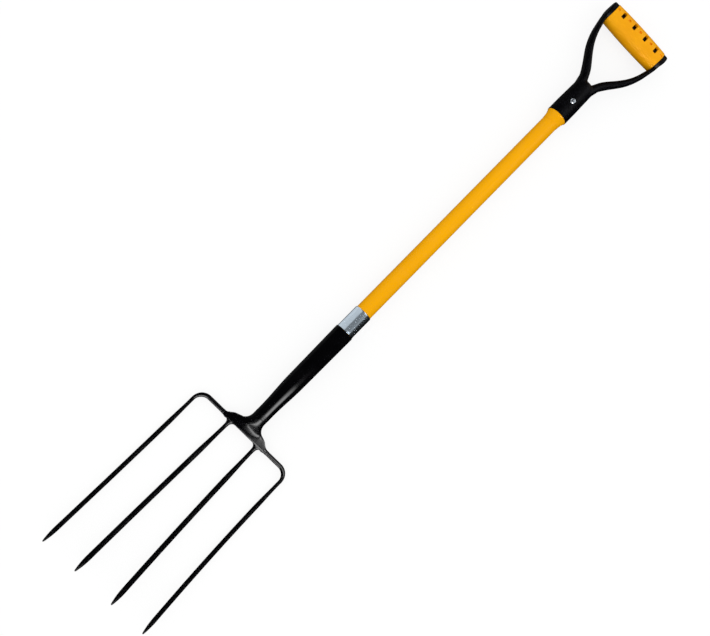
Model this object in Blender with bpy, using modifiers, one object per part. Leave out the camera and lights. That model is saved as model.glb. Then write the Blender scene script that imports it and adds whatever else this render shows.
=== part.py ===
"""A four-tine pitchfork with a fibreglass shaft and a moulded D-handle.

Units are metres and +Z is up. The fork lies on its back with its length along Y: the tips point
to -Y and the D-handle to +Y. Every piece is placed from the tine bar, the line across the head
where the outer tines leave it, and one empty carries them all so that the origin falls on the
floor under the middle of the fork.
"""

import math

import bmesh
import bpy

# Fits shared by all pieces
GAP = 0.0003                    # between pieces that touch on the real fork
ROUND_STEPS = 28                # facets round a turned piece
BAR_STEPS = 20                  # facets round a pin, a seat or a weld
ARC_MIDDLE = 1 - math.sqrt(0.5)  # how far a quarter round's middle lies in from each side

# Stations along Y, measured from the tine bar
TINE_REACH = 0.325              # from the tine bar to the tips
NECK_END = 0.038                # where the neck of the crosshead meets the socket tube
SOCKET_END = 0.2205             # open end of the socket tube
FERRULE_LENGTH = 0.0430
SHAFT_SHOWN = 0.4512            # yellow shaft between the ferrule and the D-handle
MOUTH_TO_CROTCH = 0.0766        # D-handle, from its mouth to the bottom of the hand gap
CROTCH_TO_GRIP = 0.1113         # D-handle, from there to the middle of the grip

# Crosshead and its neck
CROSSHEAD_THICKNESS = 0.015
CROSSHEAD_OVERHANG = 0.0116     # from the middle of an inner tine to the end of the crosshead
CROSSHEAD_FRONT = 0.0032        # from the tine bar to the edge between the inner tines
CROSSHEAD_END_HALF = 0.0044     # half the height of its end faces
SHOULDER_INSET = 0.0075         # the shoulder's highest point, in from the end
SHOULDER_Y = 0.0108
CROSSHEAD_BACK_EDGE = 0.0132    # the plate's far edge, hidden under the foot of the neck
CROSSHEAD_ROUNDING = 0.0018
NECK_RADIUS = 0.0128
NECK_DROP_DELAY = 1.8           # more than 1 keeps the neck at the socket's height for longer
NECK_FILLET_START = 0.031       # the neck widens from here down to the shoulders
NECK_FILLET_RADIUS = 0.018
NECK_FILLET_SHARE = 0.92        # how much of a quarter turn's depth the fillet uses
NECK_FOOT_END = 0.004
NECK_FOOT_INSET = 0.0008
NECK_RINGS = 13
NECK_WELD_DEPTH = 0.0016        # each side of the neck weld's groove
TANG_LENGTH = 0.055
TANG_ROOT = 0.006               # how far the tang is one with the neck

# Socket tube
SOCKET_WALL = 0.0020
SOCKET_SHOULDER_START = 0.048   # the socket swells from the neck between these two stations
SOCKET_SHOULDER_END = 0.112
SOCKET_TAPER = 0.00115          # how much the radius still grows from the shoulder to the mouth
SOCKET_PIN_BELOW_END = 0.035
PIN_RADIUS = 0.0024
PIN_FLUSH = 0.0002              # the pin's ends are dressed this far below the socket's side

# Tines
OUTER_ROOT_X = 0.0947
OUTER_TIP_X = 0.1037
OUTER_SPREAD = 1.45             # the outer tines leave the root straight and open out later
INNER_ROOT_X = 0.0289
INNER_TIP_X = 0.0378
INNER_SPREAD = 1.15
BEND_RADIUS = 0.018
BEND_STEPS = 10
TINE_SQUARE_RUN = 0.010         # stays square to the crosshead this far from the tine bar
BELLY_REACH = 0.100             # where the tines come closest to the floor
FLOOR_CLEARANCE = 0.00015
INNER_SEAT = 0.0110             # length of an inner tine inside the crosshead
SEAT_WALL = 0.0020              # steel left between an inner tine's seat and an outer tine's
SPIGOT_RADIUS = 0.0022          # turned end of an outer tine inside the crosshead
LEG_RADIUS = 0.0037
INNER_NECK_RADIUS = 0.0033
INNER_BODY_RADIUS = 0.0044
OUTER_NECK_RADIUS = 0.0034
OUTER_BODY_RADIUS = 0.0040
SWELL_START = 0.024             # the bars swell from neck to body between these two runs
SWELL_END = 0.076
TINE_RINGS = 12                 # along a tine's body
TIP_TAPER = 0.028
TIP_RINGS = (0.35, 0.65, 0.85, 0.95, 1.0)   # along the taper, closer together near the point
TIP_RADIUS = 0.0008
TIP_FULLNESS = 0.8              # 1 is a quarter sine wave, less is fuller
INNER_WELD_LEG = 0.0030
OUTER_WELD_LEG = 0.0016
WELD_THROAT = 0.36              # how far out the hollow face of a weld is, as a share of its leg

# Shaft and what is in and on it
SHAFT_RADIUS = 0.0143
SHAFT_WALL = 0.0039
SHAFT_BOTTOM_GAP = 0.004        # the shaft stops this far above the tang
FERRULE_WALL = 0.0011
FERRULE_ROUNDING = 0.0006
LOWER_PLUG_LENGTH = 0.200
UPPER_PLUG_LENGTH = 0.115
COLLAR_LENGTH = 0.016           # the flared collar that closes the D-handle's mouth
COLLAR_LIP = 0.0005
COLLAR_FLARE = 0.0030

# D-handle
HANDLE_WALL = 0.0041
HANDLE_TAPER = 0.0008           # how much slimmer the handle's socket is at its top
HANDLE_FLOOR = 0.0135           # solid between the blind bore and the crotch
HANDLE_STRAIGHT = 0.0240        # the handle's socket keeps its full size this far from its mouth
HANDLE_MOUTH_ROUNDING = 0.0008
CROWN_HEIGHT = 0.0170           # the dome that closes the socket in the crotch
CROWN_SQUARENESS = 3.0
CROWN_TURNS = (10, 25, 45, 68)  # degrees from its middle at which the dome has a ring
ARM_RINGS = 22
ARM_SIDES = 12
ARM_SQUARENESS = 2.8
GRIP_HALF_LENGTH = 0.0549
GRIP_END_RADIUS = 0.0191
GRIP_MIDDLE_RADIUS = 0.0203
GRIP_ROUNDING = 0.0008
GRIP_BAR_RADIUS = 0.0155
EAR_THICKNESS = 0.0085
EAR_RADIUS = 0.0182
EAR_ROUNDING = 0.0026
WINDOW_WIDTH = 0.0058
WINDOW_LENGTH = 0.0124
WINDOW_ROUNDING = 0.0012
WINDOW_TURN = math.radians(16)  # the windows face this far towards the end of the handle
END_DIMPLE_INSET = 0.0041       # from the middle of the last dimple to the end of the sleeve
DIMPLE_RADIUS = 0.0023
DIMPLE_DEPTH = 0.0020
RIVET_ABOVE_MOUTH = 0.0307
RIVET_HEAD_RADIUS = 0.0045
RIVET_HEAD_HEIGHT = 0.0017
RIVET_DOME_TURNS = (90, 68, 45, 20, 0)
SPOT_FACE_DEPTH = 0.0010
SPOT_FACE_CLEARANCE = 0.0007
TAIL_POCKET_DEPTH = 0.0032
WASHER_RADIUS = 0.0052
WASHER_THICKNESS = 0.0010
TAIL_RADIUS = 0.0036
TAIL_HEIGHT = 0.0009
TAIL_BEVEL = 0.0005

CUT_THROUGH = 0.030             # how far a cutter runs past what it cuts

# Worked out from the sizes above
CROSSHEAD_HALF_WIDTH = INNER_ROOT_X + CROSSHEAD_OVERHANG
OUTER_SEAT = CROSSHEAD_OVERHANG - INNER_NECK_RADIUS - GAP - SEAT_WALL
SOCKET_MOUTH_RADIUS = SHAFT_RADIUS + GAP + SOCKET_WALL
SOCKET_SHOULDER_RADIUS = SOCKET_MOUTH_RADIUS - SOCKET_TAPER
SHAFT_BORE_RADIUS = SHAFT_RADIUS - SHAFT_WALL
FERRULE_RADIUS = SHAFT_RADIUS + GAP + FERRULE_WALL
HANDLE_MOUTH_RADIUS = SHAFT_RADIUS + GAP + HANDLE_WALL
HANDLE_TOP_RADIUS = HANDLE_MOUTH_RADIUS - HANDLE_TAPER
EAR_INSIDE = GRIP_HALF_LENGTH + GAP
EAR_OUTSIDE = EAR_INSIDE + EAR_THICKNESS
WINDOW_PITCH = (GRIP_HALF_LENGTH - END_DIMPLE_INSET) / 2
AXIS_HEIGHT = max(GRIP_MIDDLE_RADIUS, HANDLE_MOUTH_RADIUS + GAP)
ROOT_HEIGHT = CROSSHEAD_THICKNESS / 2
BELLY_HEIGHT = INNER_BODY_RADIUS + FLOOR_CLEARANCE
FERRULE_START = SOCKET_END + GAP
FERRULE_END = FERRULE_START + FERRULE_LENGTH
HANDLE_MOUTH = FERRULE_END + SHAFT_SHOWN
CROTCH = HANDLE_MOUTH + MOUTH_TO_CROTCH
GRIP_CENTRE = CROTCH + CROTCH_TO_GRIP
HANDLE_END = GRIP_CENTRE + max(GRIP_MIDDLE_RADIUS, EAR_RADIUS)
TANG_END = NECK_END + TANG_LENGTH
SHAFT_START = TANG_END + SHAFT_BOTTOM_GAP
BORE_END = CROTCH - HANDLE_FLOOR
SHAFT_END = BORE_END - GAP
RIVET_STATION = HANDLE_MOUTH + RIVET_ABOVE_MOUTH
PIN_STATION = SOCKET_END - SOCKET_PIN_BELOW_END
ORIGIN_SHIFT = (HANDLE_END - TINE_REACH) / 2

ALONG_Y = (math.radians(-90), 0, 0)
ALONG_MINUS_Y = (math.radians(90), 0, 0)
ALONG_X = (0, math.radians(90), 0)
ALONG_MINUS_X = (0, math.radians(-90), 0)
UPRIGHT = (0, 0, 0)
UPSIDE_DOWN = (math.radians(180), 0, 0)


def clear_scene():
    for item in list(bpy.data.objects):
        bpy.data.objects.remove(item, do_unlink=True)


def collection(name, hidden=False):
    made = bpy.data.collections.new(name)
    bpy.context.scene.collection.children.link(made)
    made.hide_render = hidden
    return made


clear_scene()
PARTS = collection("pitchfork")
CUTTERS = collection("cutters", hidden=True)
CARRIER = bpy.data.objects.new("pitchfork_origin", None)
CARRIER.location = (0, -ORIGIN_SHIFT, 0)
PARTS.objects.link(CARRIER)


def material(name, color, roughness, metallic=0.0):
    made = bpy.data.materials.new(name)
    made.use_nodes = True
    shader = made.node_tree.nodes["Principled BSDF"]
    shader.inputs["Base Color"].default_value = (*color, 1.0)
    shader.inputs["Roughness"].default_value = roughness
    shader.inputs["Metallic"].default_value = metallic
    return made


def place(name, mesh, location=(0, 0, 0), rotation=UPRIGHT, cutter=False):
    """Names a mesh, stands it on the carrier and files it as a part or as a cutter."""
    made = bpy.data.objects.new(name, mesh)
    made.parent = CARRIER
    made.location = location
    made.rotation_euler = rotation
    if cutter:
        made.hide_render = True
        made.display_type = "WIRE"
    else:
        mesh.materials.append(material(name, *FINISHES[name]))
    (CUTTERS if cutter else PARTS).objects.link(made)
    return made


def round_shading(mesh):
    mesh.shade_smooth()
    mesh.set_sharp_from_angle(angle=math.radians(35))


def turned(name, profile, location, rotation, ring=False, cutter=False, steps=ROUND_STEPS):
    """Turns (radius, height) points about the local Z axis. They run down the outer side."""
    mesh = bpy.data.meshes.new(name)
    points = [(radius, 0, height) for radius, height in profile]
    edges = [(i, i + 1) for i in range(len(points) - 1)]
    if ring:
        edges.append((len(points) - 1, 0))
    mesh.from_pydata(points, edges, [])
    made = place(name, mesh, location, rotation, cutter=cutter)
    screw = made.modifiers.new("turn", "SCREW")
    screw.axis = "Z"
    screw.steps = steps
    screw.render_steps = steps
    screw.use_merge_vertices = True
    screw.merge_threshold = 0.00001
    screw.use_smooth_shade = True
    return made


def rod_profile(radius, bottom, top):
    return [(0, top), (radius, top), (radius, bottom), (0, bottom)]


def cylinder_cutter(name, radius, bottom, top, location, rotation, steps=ROUND_STEPS):
    profile = rod_profile(radius, bottom, top)
    return turned(name, profile, location, rotation, cutter=True, steps=steps)


def boolean(target, other, operation="DIFFERENCE"):
    modifier = target.modifiers.new(f"{operation.lower()} {other.name}", "BOOLEAN")
    modifier.operation = operation
    modifier.solver = "EXACT"
    modifier.object = other


def bevel(target, width, segments=3):
    modifier = target.modifiers.new("rounding", "BEVEL")
    modifier.width = width
    modifier.segments = segments
    modifier.limit_method = "ANGLE"
    modifier.angle_limit = math.radians(40)
    modifier.use_clamp_overlap = False


def mesh_from_curve(curve_object):
    """The curve's evaluated mesh with its caps welded, and the curve removed."""
    curve_object.location = (0, 0, 0)
    bpy.context.view_layer.update()
    graph = bpy.context.evaluated_depsgraph_get()
    mesh = bpy.data.meshes.new_from_object(curve_object.evaluated_get(graph))
    shape = bmesh.new()
    shape.from_mesh(mesh)
    bmesh.ops.remove_doubles(shape, verts=shape.verts, dist=0.000001)
    flat = math.radians(0.5)
    bmesh.ops.dissolve_limit(shape, angle_limit=flat, verts=shape.verts, edges=shape.edges)
    bmesh.ops.recalc_face_normals(shape, faces=shape.faces)
    shape.to_mesh(mesh)
    shape.free()
    bpy.data.objects.remove(curve_object, do_unlink=True)
    return mesh


def plate_mesh(outline, half_thickness, resolution=4):
    """A plate whose outline is (x, y, corner) points: smooth through them, or sharp at a corner."""
    curve = bpy.data.curves.new("outline", "CURVE")
    curve.dimensions = "2D"
    curve.fill_mode = "BOTH"
    curve.extrude = half_thickness
    curve.resolution_u = resolution
    spline = curve.splines.new("BEZIER")
    spline.bezier_points.add(len(outline) - 1)
    spline.use_cyclic_u = True
    for point, (x, y, corner) in zip(spline.bezier_points, outline):
        point.co = (x, y, 0)
        kind = "VECTOR" if corner else "AUTO"
        point.handle_left_type = kind
        point.handle_right_type = kind
    made = bpy.data.objects.new("outline", curve)
    PARTS.objects.link(made)
    return mesh_from_curve(made)


def both_sides(half):
    """A closed outline from its right half, listed from one end of the middle line to the other."""
    mirrored = [(-x, y, corner) for x, y, corner in reversed(half) if x > 0]
    return half + mirrored


def stations(start, end, count):
    return [start + (end - start) * i / count for i in range(count + 1)]


def smooth_step(value, start, end):
    share = min(max((value - start) / (end - start), 0.0), 1.0)
    return share * share * (3 - 2 * share)


def loft(name, rings):
    """Skins a closed body over rings of (x, y, z) points, with a face on each end."""
    shape = bmesh.new()
    rows = [[shape.verts.new(point) for point in ring] for ring in rings]
    for lower, upper in zip(rows, rows[1:]):
        for index in range(len(lower)):
            after = (index + 1) % len(lower)
            shape.faces.new((lower[index], lower[after], upper[after], upper[index]))
    shape.faces.new(rows[0])
    shape.faces.new(rows[-1])
    bmesh.ops.recalc_face_normals(shape, faces=shape.faces)
    mesh = bpy.data.meshes.new(name)
    shape.to_mesh(mesh)
    shape.free()
    return mesh


def soft_box(middle_x, y, middle_z, half_x, half_z, count, squareness):
    """A ring in a plane of constant y, between an ellipse (2) and a rectangle (large)."""
    ring = []
    for step in range(count):
        angle = 2 * math.pi * step / count
        across, up = math.cos(angle), math.sin(angle)
        x = math.copysign(abs(across) ** (2 / squareness), across)
        z = math.copysign(abs(up) ** (2 / squareness), up)
        ring.append((middle_x + half_x * x, y, middle_z + half_z * z))
    return ring


# Finishes: colour, roughness, metallic
BLACK_PAINT = ((0.006, 0.006, 0.008), 0.28, 0.0)
WELD_PAINT = ((0.008, 0.008, 0.010), 0.38, 0.0)
BLACK_PLASTIC = ((0.008, 0.008, 0.009), 0.42, 0.0)
YELLOW_GEL = ((0.90, 0.36, 0.012), 0.30, 0.0)
YELLOW_PLASTIC = ((0.88, 0.32, 0.010), 0.45, 0.0)
BRIGHT_STEEL = ((0.62, 0.66, 0.70), 0.25, 1.0)
HARDWOOD = ((0.52, 0.34, 0.18), 0.70, 0.0)

FINISHES = {
    "crosshead": BLACK_PAINT,
    "socket_tube": BLACK_PAINT,
    "neck_weld": WELD_PAINT,
    "ferrule": BRIGHT_STEEL,
    "shaft": YELLOW_GEL,
    "shaft_collar": YELLOW_GEL,
    "core_plug_lower": HARDWOOD,
    "core_plug_upper": HARDWOOD,
    "socket_pin": BLACK_PAINT,
    "d_handle_yoke": BLACK_PLASTIC,
    "grip_sleeve": YELLOW_PLASTIC,
    "handle_rivet": BRIGHT_STEEL,
    "rivet_washer": BRIGHT_STEEL,
}
for side in ("left", "right"):
    for row in ("outer", "inner"):
        FINISHES[f"tine_{row}_{side}"] = BLACK_PAINT
        FINISHES[f"weld_{row}_{side}"] = WELD_PAINT


# Tines

def tine_height(run):
    """Height of a tine's centre line at this distance in front of the tine bar."""
    if run <= TINE_SQUARE_RUN:
        return ROOT_HEIGHT
    drop = ROOT_HEIGHT - BELLY_HEIGHT
    bow = drop / (BELLY_REACH - TINE_SQUARE_RUN) ** 2
    return BELLY_HEIGHT + bow * (run - BELLY_REACH) ** 2


def tine_radius(run, neck, body):
    """Drawn thin behind the root, full along the body, and ground to a blunt point."""
    to_tip = TINE_REACH - run
    if to_tip < TIP_TAPER:
        share = math.sin(to_tip / TIP_TAPER * math.pi / 2) ** TIP_FULLNESS
        return TIP_RADIUS + (body - TIP_RADIUS) * share
    return neck + (body - neck) * smooth_step(run, SWELL_START, SWELL_END)


def tine_runs(start):
    """Distances from the tine bar at which a tine has a ring, closer together near its tip."""
    body_end = TINE_REACH - TIP_TAPER
    tip = [body_end + TIP_TAPER * share for share in TIP_RINGS]
    return stations(start, body_end, TINE_RINGS) + tip


def inner_tine_path():
    """(x, y, z, radius) from the seat in the crosshead to the tip, for the right-hand side."""
    path = [(INNER_ROOT_X, INNER_SEAT - CROSSHEAD_FRONT, ROOT_HEIGHT, INNER_NECK_RADIUS)]
    for run in tine_runs(TINE_SQUARE_RUN):
        share = (run - TINE_SQUARE_RUN) / (TINE_REACH - TINE_SQUARE_RUN)
        x = INNER_ROOT_X + (INNER_TIP_X - INNER_ROOT_X) * share ** INNER_SPREAD
        radius = tine_radius(run, INNER_NECK_RADIUS, INNER_BODY_RADIUS)
        path.append((x, -run, tine_height(run), radius))
    return path


def outer_tine_path():
    """(x, y, z, radius) from the turned spigot along the leg, round the bend and to the tip."""
    shoulder = CROSSHEAD_HALF_WIDTH + GAP
    path = [
        (CROSSHEAD_HALF_WIDTH - OUTER_SEAT, 0, ROOT_HEIGHT, SPIGOT_RADIUS),
        (shoulder, 0, ROOT_HEIGHT, SPIGOT_RADIUS),
        (shoulder + GAP, 0, ROOT_HEIGHT, LEG_RADIUS),
    ]
    bend_x = OUTER_ROOT_X - BEND_RADIUS
    for i in range(BEND_STEPS + 1):
        turn = math.pi / 2 * i / BEND_STEPS
        run = BEND_RADIUS * (1 - math.cos(turn))
        x = bend_x + BEND_RADIUS * math.sin(turn)
        radius = LEG_RADIUS + (OUTER_NECK_RADIUS - LEG_RADIUS) * i / BEND_STEPS
        path.append((x, -run, tine_height(run), radius))
    for run in tine_runs(BEND_RADIUS)[1:]:
        share = (run - BEND_RADIUS) / (TINE_REACH - BEND_RADIUS)
        x = OUTER_ROOT_X + (OUTER_TIP_X - OUTER_ROOT_X) * share ** OUTER_SPREAD
        radius = tine_radius(run, OUTER_NECK_RADIUS, OUTER_BODY_RADIUS)
        path.append((x, -run, tine_height(run), radius))
    return path


def tine(name, path, side):
    """A round bar along the path, as a curve with a bevel and filled caps."""
    curve = bpy.data.curves.new(name, "CURVE")
    curve.dimensions = "3D"
    curve.bevel_depth = 1.0
    curve.bevel_resolution = 4
    curve.use_fill_caps = True
    spline = curve.splines.new("POLY")
    spline.points.add(len(path) - 1)
    for point, (x, y, z, radius) in zip(spline.points, path):
        point.co = (side * x, y, z, 1)
        point.radius = radius
    made = bpy.data.objects.new(name, curve)
    made.parent = CARRIER
    curve.materials.append(material(name, *FINISHES[name]))
    PARTS.objects.link(made)


def weld_profile(inner, leg):
    """A hollow fillet: its foot lies on the crosshead and its throat runs up the bar."""
    throat = WELD_THROAT * leg
    return [(inner, leg), (inner + throat, throat), (inner + leg, 0), (inner, 0)]


def build_tines():
    room_on_plate = ROOT_HEIGHT - INNER_NECK_RADIUS - 2 * GAP
    for side, word in ((1, "right"), (-1, "left")):
        tine(f"tine_inner_{word}", inner_tine_path(), side)
        tine(f"tine_outer_{word}", outer_tine_path(), side)
        turned(
            f"weld_inner_{word}",
            weld_profile(INNER_NECK_RADIUS + GAP, min(INNER_WELD_LEG, room_on_plate)),
            (side * INNER_ROOT_X, -CROSSHEAD_FRONT - GAP, ROOT_HEIGHT),
            ALONG_MINUS_Y,
            ring=True,
            steps=BAR_STEPS,
        )
        turned(
            f"weld_outer_{word}",
            weld_profile(LEG_RADIUS + GAP, OUTER_WELD_LEG),
            (side * (CROSSHEAD_HALF_WIDTH + GAP), 0, ROOT_HEIGHT),
            ALONG_X if side > 0 else ALONG_MINUS_X,
            ring=True,
            steps=BAR_STEPS,
        )


# Crosshead

def neck_half_width(y):
    """The round neck's radius, then a fillet that runs out into the shoulders of the plate."""
    depth = min(max(NECK_FILLET_START - y, 0.0), NECK_FILLET_SHARE * NECK_FILLET_RADIUS)
    return NECK_RADIUS + NECK_FILLET_RADIUS - math.sqrt(NECK_FILLET_RADIUS ** 2 - depth ** 2)


def neck_blend_mesh():
    """Lofts the round neck, from its weld groove, into a wide foot inside the crosshead's plate."""
    groove_foot = NECK_RADIUS - NECK_WELD_DEPTH
    rings = [soft_box(0, NECK_END, AXIS_HEIGHT, groove_foot, groove_foot, ROUND_STEPS, 2)]
    foot_half = CROSSHEAD_THICKNESS / 2 - NECK_FOOT_INSET
    top = NECK_END - NECK_WELD_DEPTH
    for y in stations(top, NECK_FOOT_END, NECK_RINGS):
        sunk = ((top - y) / (top - NECK_FOOT_END)) ** NECK_DROP_DELAY
        settle = smooth_step(sunk, 0.0, 1.0)
        half_height = NECK_RADIUS + (foot_half - NECK_RADIUS) * settle
        middle = AXIS_HEIGHT + (ROOT_HEIGHT - AXIS_HEIGHT) * settle
        rings.append(soft_box(0, y, middle, neck_half_width(y), half_height, ROUND_STEPS, 2))
    return loft("neck_blend", rings)


def build_crosshead():
    end = CROSSHEAD_HALF_WIDTH
    foot_edge = neck_half_width(0)
    half_outline = [
        (0, -CROSSHEAD_FRONT, True),
        (end, -CROSSHEAD_FRONT, True),
        (end, CROSSHEAD_END_HALF, True),
        (end - SHOULDER_INSET, SHOULDER_Y, False),
        (foot_edge, CROSSHEAD_BACK_EDGE, True),
        (0, CROSSHEAD_BACK_EDGE, True),
    ]
    plate = plate_mesh(both_sides(half_outline), CROSSHEAD_THICKNESS / 2)
    crosshead = place("crosshead", plate, (0, 0, ROOT_HEIGHT))
    bevel(crosshead, CROSSHEAD_ROUNDING)
    boolean(crosshead, place("neck_blend", neck_blend_mesh(), cutter=True), "UNION")
    tang_radius = NECK_RADIUS - SOCKET_WALL - GAP
    tang_start = NECK_END - TANG_ROOT
    tang = turned("tang", [
        (0, TANG_END), (tang_radius, TANG_END), (tang_radius, tang_start), (0, tang_start),
    ], (0, 0, AXIS_HEIGHT), ALONG_Y, cutter=True)
    boolean(crosshead, tang, "UNION")
    for side, word in ((1, "right"), (-1, "left")):
        pocket_end = INNER_SEAT - CROSSHEAD_FRONT + GAP
        boolean(crosshead, cylinder_cutter(
            f"inner_seat_{word}", INNER_NECK_RADIUS + GAP, -CUT_THROUGH, pocket_end,
            (side * INNER_ROOT_X, 0, ROOT_HEIGHT), ALONG_Y, steps=BAR_STEPS,
        ))
        pocket_start = CROSSHEAD_HALF_WIDTH - OUTER_SEAT - GAP
        boolean(crosshead, cylinder_cutter(
            f"outer_seat_{word}", SPIGOT_RADIUS + GAP, pocket_start, pocket_start + CUT_THROUGH,
            (0, 0, ROOT_HEIGHT), ALONG_X if side > 0 else ALONG_MINUS_X, steps=BAR_STEPS,
        ))


# Socket tube, shaft, ferrule and the plugs and pin inside them

def socket_radius(y):
    """Outer radius of the socket tube: the neck's at its foot, then a long swell to the mouth."""
    swell = smooth_step(y, SOCKET_SHOULDER_START, SOCKET_SHOULDER_END)
    radius = NECK_RADIUS + (SOCKET_SHOULDER_RADIUS - NECK_RADIUS) * swell
    past = max(0.0, y - SOCKET_SHOULDER_END) / (SOCKET_END - SOCKET_SHOULDER_END)
    return radius + (SOCKET_MOUTH_RADIUS - SOCKET_SHOULDER_RADIUS) * past


def socket_bore(y):
    return socket_radius(y) - SOCKET_WALL


def shaft_radius(y):
    """A plain tube, ground down at its foot where the socket's bore is narrower."""
    if y > SOCKET_END:
        return SHAFT_RADIUS
    return min(SHAFT_RADIUS, socket_bore(y) - GAP)


def collar_radius(y):
    """The collar leaves the shaft with a thin lip and flares along an arc up to the handle."""
    arc = (COLLAR_LENGTH ** 2 + COLLAR_FLARE ** 2) / (2 * COLLAR_FLARE)
    along = y - (HANDLE_MOUTH - GAP - COLLAR_LENGTH)
    return SHAFT_RADIUS + GAP + COLLAR_LIP + arc - math.sqrt(arc ** 2 - along ** 2)


def build_socket_and_shaft():
    axis = (0, 0, AXIS_HEIGHT)
    foot = NECK_END + GAP
    outside = [(socket_radius(y), y) for y in stations(SOCKET_END, SOCKET_SHOULDER_START, 9)]
    groove = [
        (NECK_RADIUS, foot + NECK_WELD_DEPTH),
        (NECK_RADIUS - NECK_WELD_DEPTH, foot),
        (NECK_RADIUS - SOCKET_WALL, foot),
    ]
    inside = [(socket_bore(y), y) for y in stations(SOCKET_SHOULDER_START, SOCKET_END, 9)]
    socket = turned("socket_tube", outside + groove + inside, axis, ALONG_Y, ring=True)

    middle = NECK_END + GAP / 2
    turned(
        "neck_weld",
        [
            (NECK_RADIUS, middle + NECK_WELD_DEPTH - GAP),
            (NECK_RADIUS, middle - NECK_WELD_DEPTH + GAP),
            (NECK_RADIUS - NECK_WELD_DEPTH + 2 * GAP, middle),
        ],
        axis,
        ALONG_Y,
        ring=True,
    )

    outside = [(SHAFT_RADIUS, SHAFT_END)]
    outside += [(shaft_radius(y), y) for y in stations(SOCKET_END, SHAFT_START, 6)]
    inside = [(SHAFT_BORE_RADIUS, SHAFT_START), (SHAFT_BORE_RADIUS, SHAFT_END)]
    shaft = turned("shaft", outside + inside, axis, ALONG_Y, ring=True)

    bore = SHAFT_RADIUS + GAP
    edge = FERRULE_ROUNDING
    turned(
        "ferrule",
        [
            (FERRULE_RADIUS - edge, FERRULE_END),
            (FERRULE_RADIUS - ARC_MIDDLE * edge, FERRULE_END - ARC_MIDDLE * edge),
            (FERRULE_RADIUS, FERRULE_END - edge),
            (FERRULE_RADIUS, FERRULE_START + edge),
            (FERRULE_RADIUS - ARC_MIDDLE * edge, FERRULE_START + ARC_MIDDLE * edge),
            (FERRULE_RADIUS - edge, FERRULE_START),
            (bore, FERRULE_START),
            (bore, FERRULE_END),
        ],
        axis,
        ALONG_Y,
        ring=True,
    )

    collar_end = HANDLE_MOUTH - GAP
    collar_start = collar_end - COLLAR_LENGTH
    outside = [(collar_radius(y), y) for y in stations(collar_end, collar_start, 8)]
    inside = [(bore, collar_start), (bore, collar_end)]
    turned("shaft_collar", outside + inside, axis, ALONG_Y, ring=True)

    plug_radius = SHAFT_BORE_RADIUS - GAP
    lower_plug = turned(
        "core_plug_lower",
        rod_profile(plug_radius, SHAFT_START, SHAFT_START + LOWER_PLUG_LENGTH),
        axis,
        ALONG_Y,
    )
    upper_plug = turned(
        "core_plug_upper",
        rod_profile(plug_radius, SHAFT_END - UPPER_PLUG_LENGTH, SHAFT_END),
        axis,
        ALONG_Y,
    )

    pin_half = socket_radius(PIN_STATION) - PIN_FLUSH
    pin_place = (0, PIN_STATION, AXIS_HEIGHT)
    turned("socket_pin", rod_profile(PIN_RADIUS, -pin_half, pin_half), pin_place, ALONG_X, steps=BAR_STEPS)
    pin_hole = cylinder_cutter(
        "pin_hole", PIN_RADIUS + GAP, -CUT_THROUGH, CUT_THROUGH, pin_place, ALONG_X, steps=BAR_STEPS
    )
    for drilled in (socket, shaft, lower_plug):
        boolean(drilled, pin_hole)
    return shaft, upper_plug


# D-handle

# One arm of the lyre-shaped yoke, from inside the socket up to inside its ear. The height is a
# share of the way from the crotch to the grip, the inner edge a share of the way to the ear's
# inner face, and the outer edge a share of the way from the socket's side to the ear's outer
# face. Half its depth, front to back, is a share of the ear's radius.
ARM_SHAPE = [
    (-0.215, 0.018, -0.046, 0.76),
    (-0.107, 0.040, -0.011, 0.77),
    (-0.027, 0.070, 0.031, 0.73),
    (0.045, 0.130, 0.082, 0.67),
    (0.170, 0.261, 0.275, 0.59),
    (0.354, 0.551, 0.572, 0.56),
    (0.492, 0.739, 0.742, 0.58),
    (0.632, 0.868, 0.858, 0.62),
    (0.770, 0.949, 0.926, 0.66),
    (0.893, 1.010, 0.976, 0.71),
    (1.018, 1.030, 0.985, 0.73),
]


def between(rows, share):
    """A smooth row between the listed ones, by the Catmull-Rom rule; share runs from 0 to 1."""
    last = len(rows) - 1
    position = min(share * last, last - 1e-9)
    index = int(position)
    t = position - index
    picked = [rows[min(max(index + k, 0), last)] for k in (-1, 0, 1, 2)]
    return tuple(
        0.5 * (2 * b + (c - a) * t + (2 * a - 5 * b + 4 * c - d) * t * t
               + (3 * b - a - 3 * c + d) * t ** 3)
        for a, b, c, d in zip(*picked)
    )


def arm_mesh(name, side):
    rings = []
    for step in range(ARM_RINGS + 1):
        height, inward, outward, depth = between(ARM_SHAPE, step / ARM_RINGS)
        inner = inward * EAR_INSIDE
        outer = HANDLE_TOP_RADIUS + outward * (EAR_OUTSIDE - HANDLE_TOP_RADIUS)
        y = CROTCH + height * CROTCH_TO_GRIP
        middle, half = side * (inner + outer) / 2, (outer - inner) / 2
        rings.append(soft_box(middle, y, 0, half, depth * EAR_RADIUS, ARM_SIDES, ARM_SQUARENESS))
    return loft(name, rings)


def grip_radius(x):
    """The sleeve swells a little towards its middle."""
    return GRIP_MIDDLE_RADIUS - (GRIP_MIDDLE_RADIUS - GRIP_END_RADIUS) * (x / GRIP_HALF_LENGTH) ** 2


def crown_point(turn):
    """(radius, y) on the dome that closes the handle's socket, this many degrees from its middle."""
    across = math.sin(math.radians(turn)) ** (2 / CROWN_SQUARENESS)
    up = math.cos(math.radians(turn)) ** (2 / CROWN_SQUARENESS)
    return HANDLE_TOP_RADIUS * across, CROTCH - CROWN_HEIGHT * (1 - up)


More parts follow.
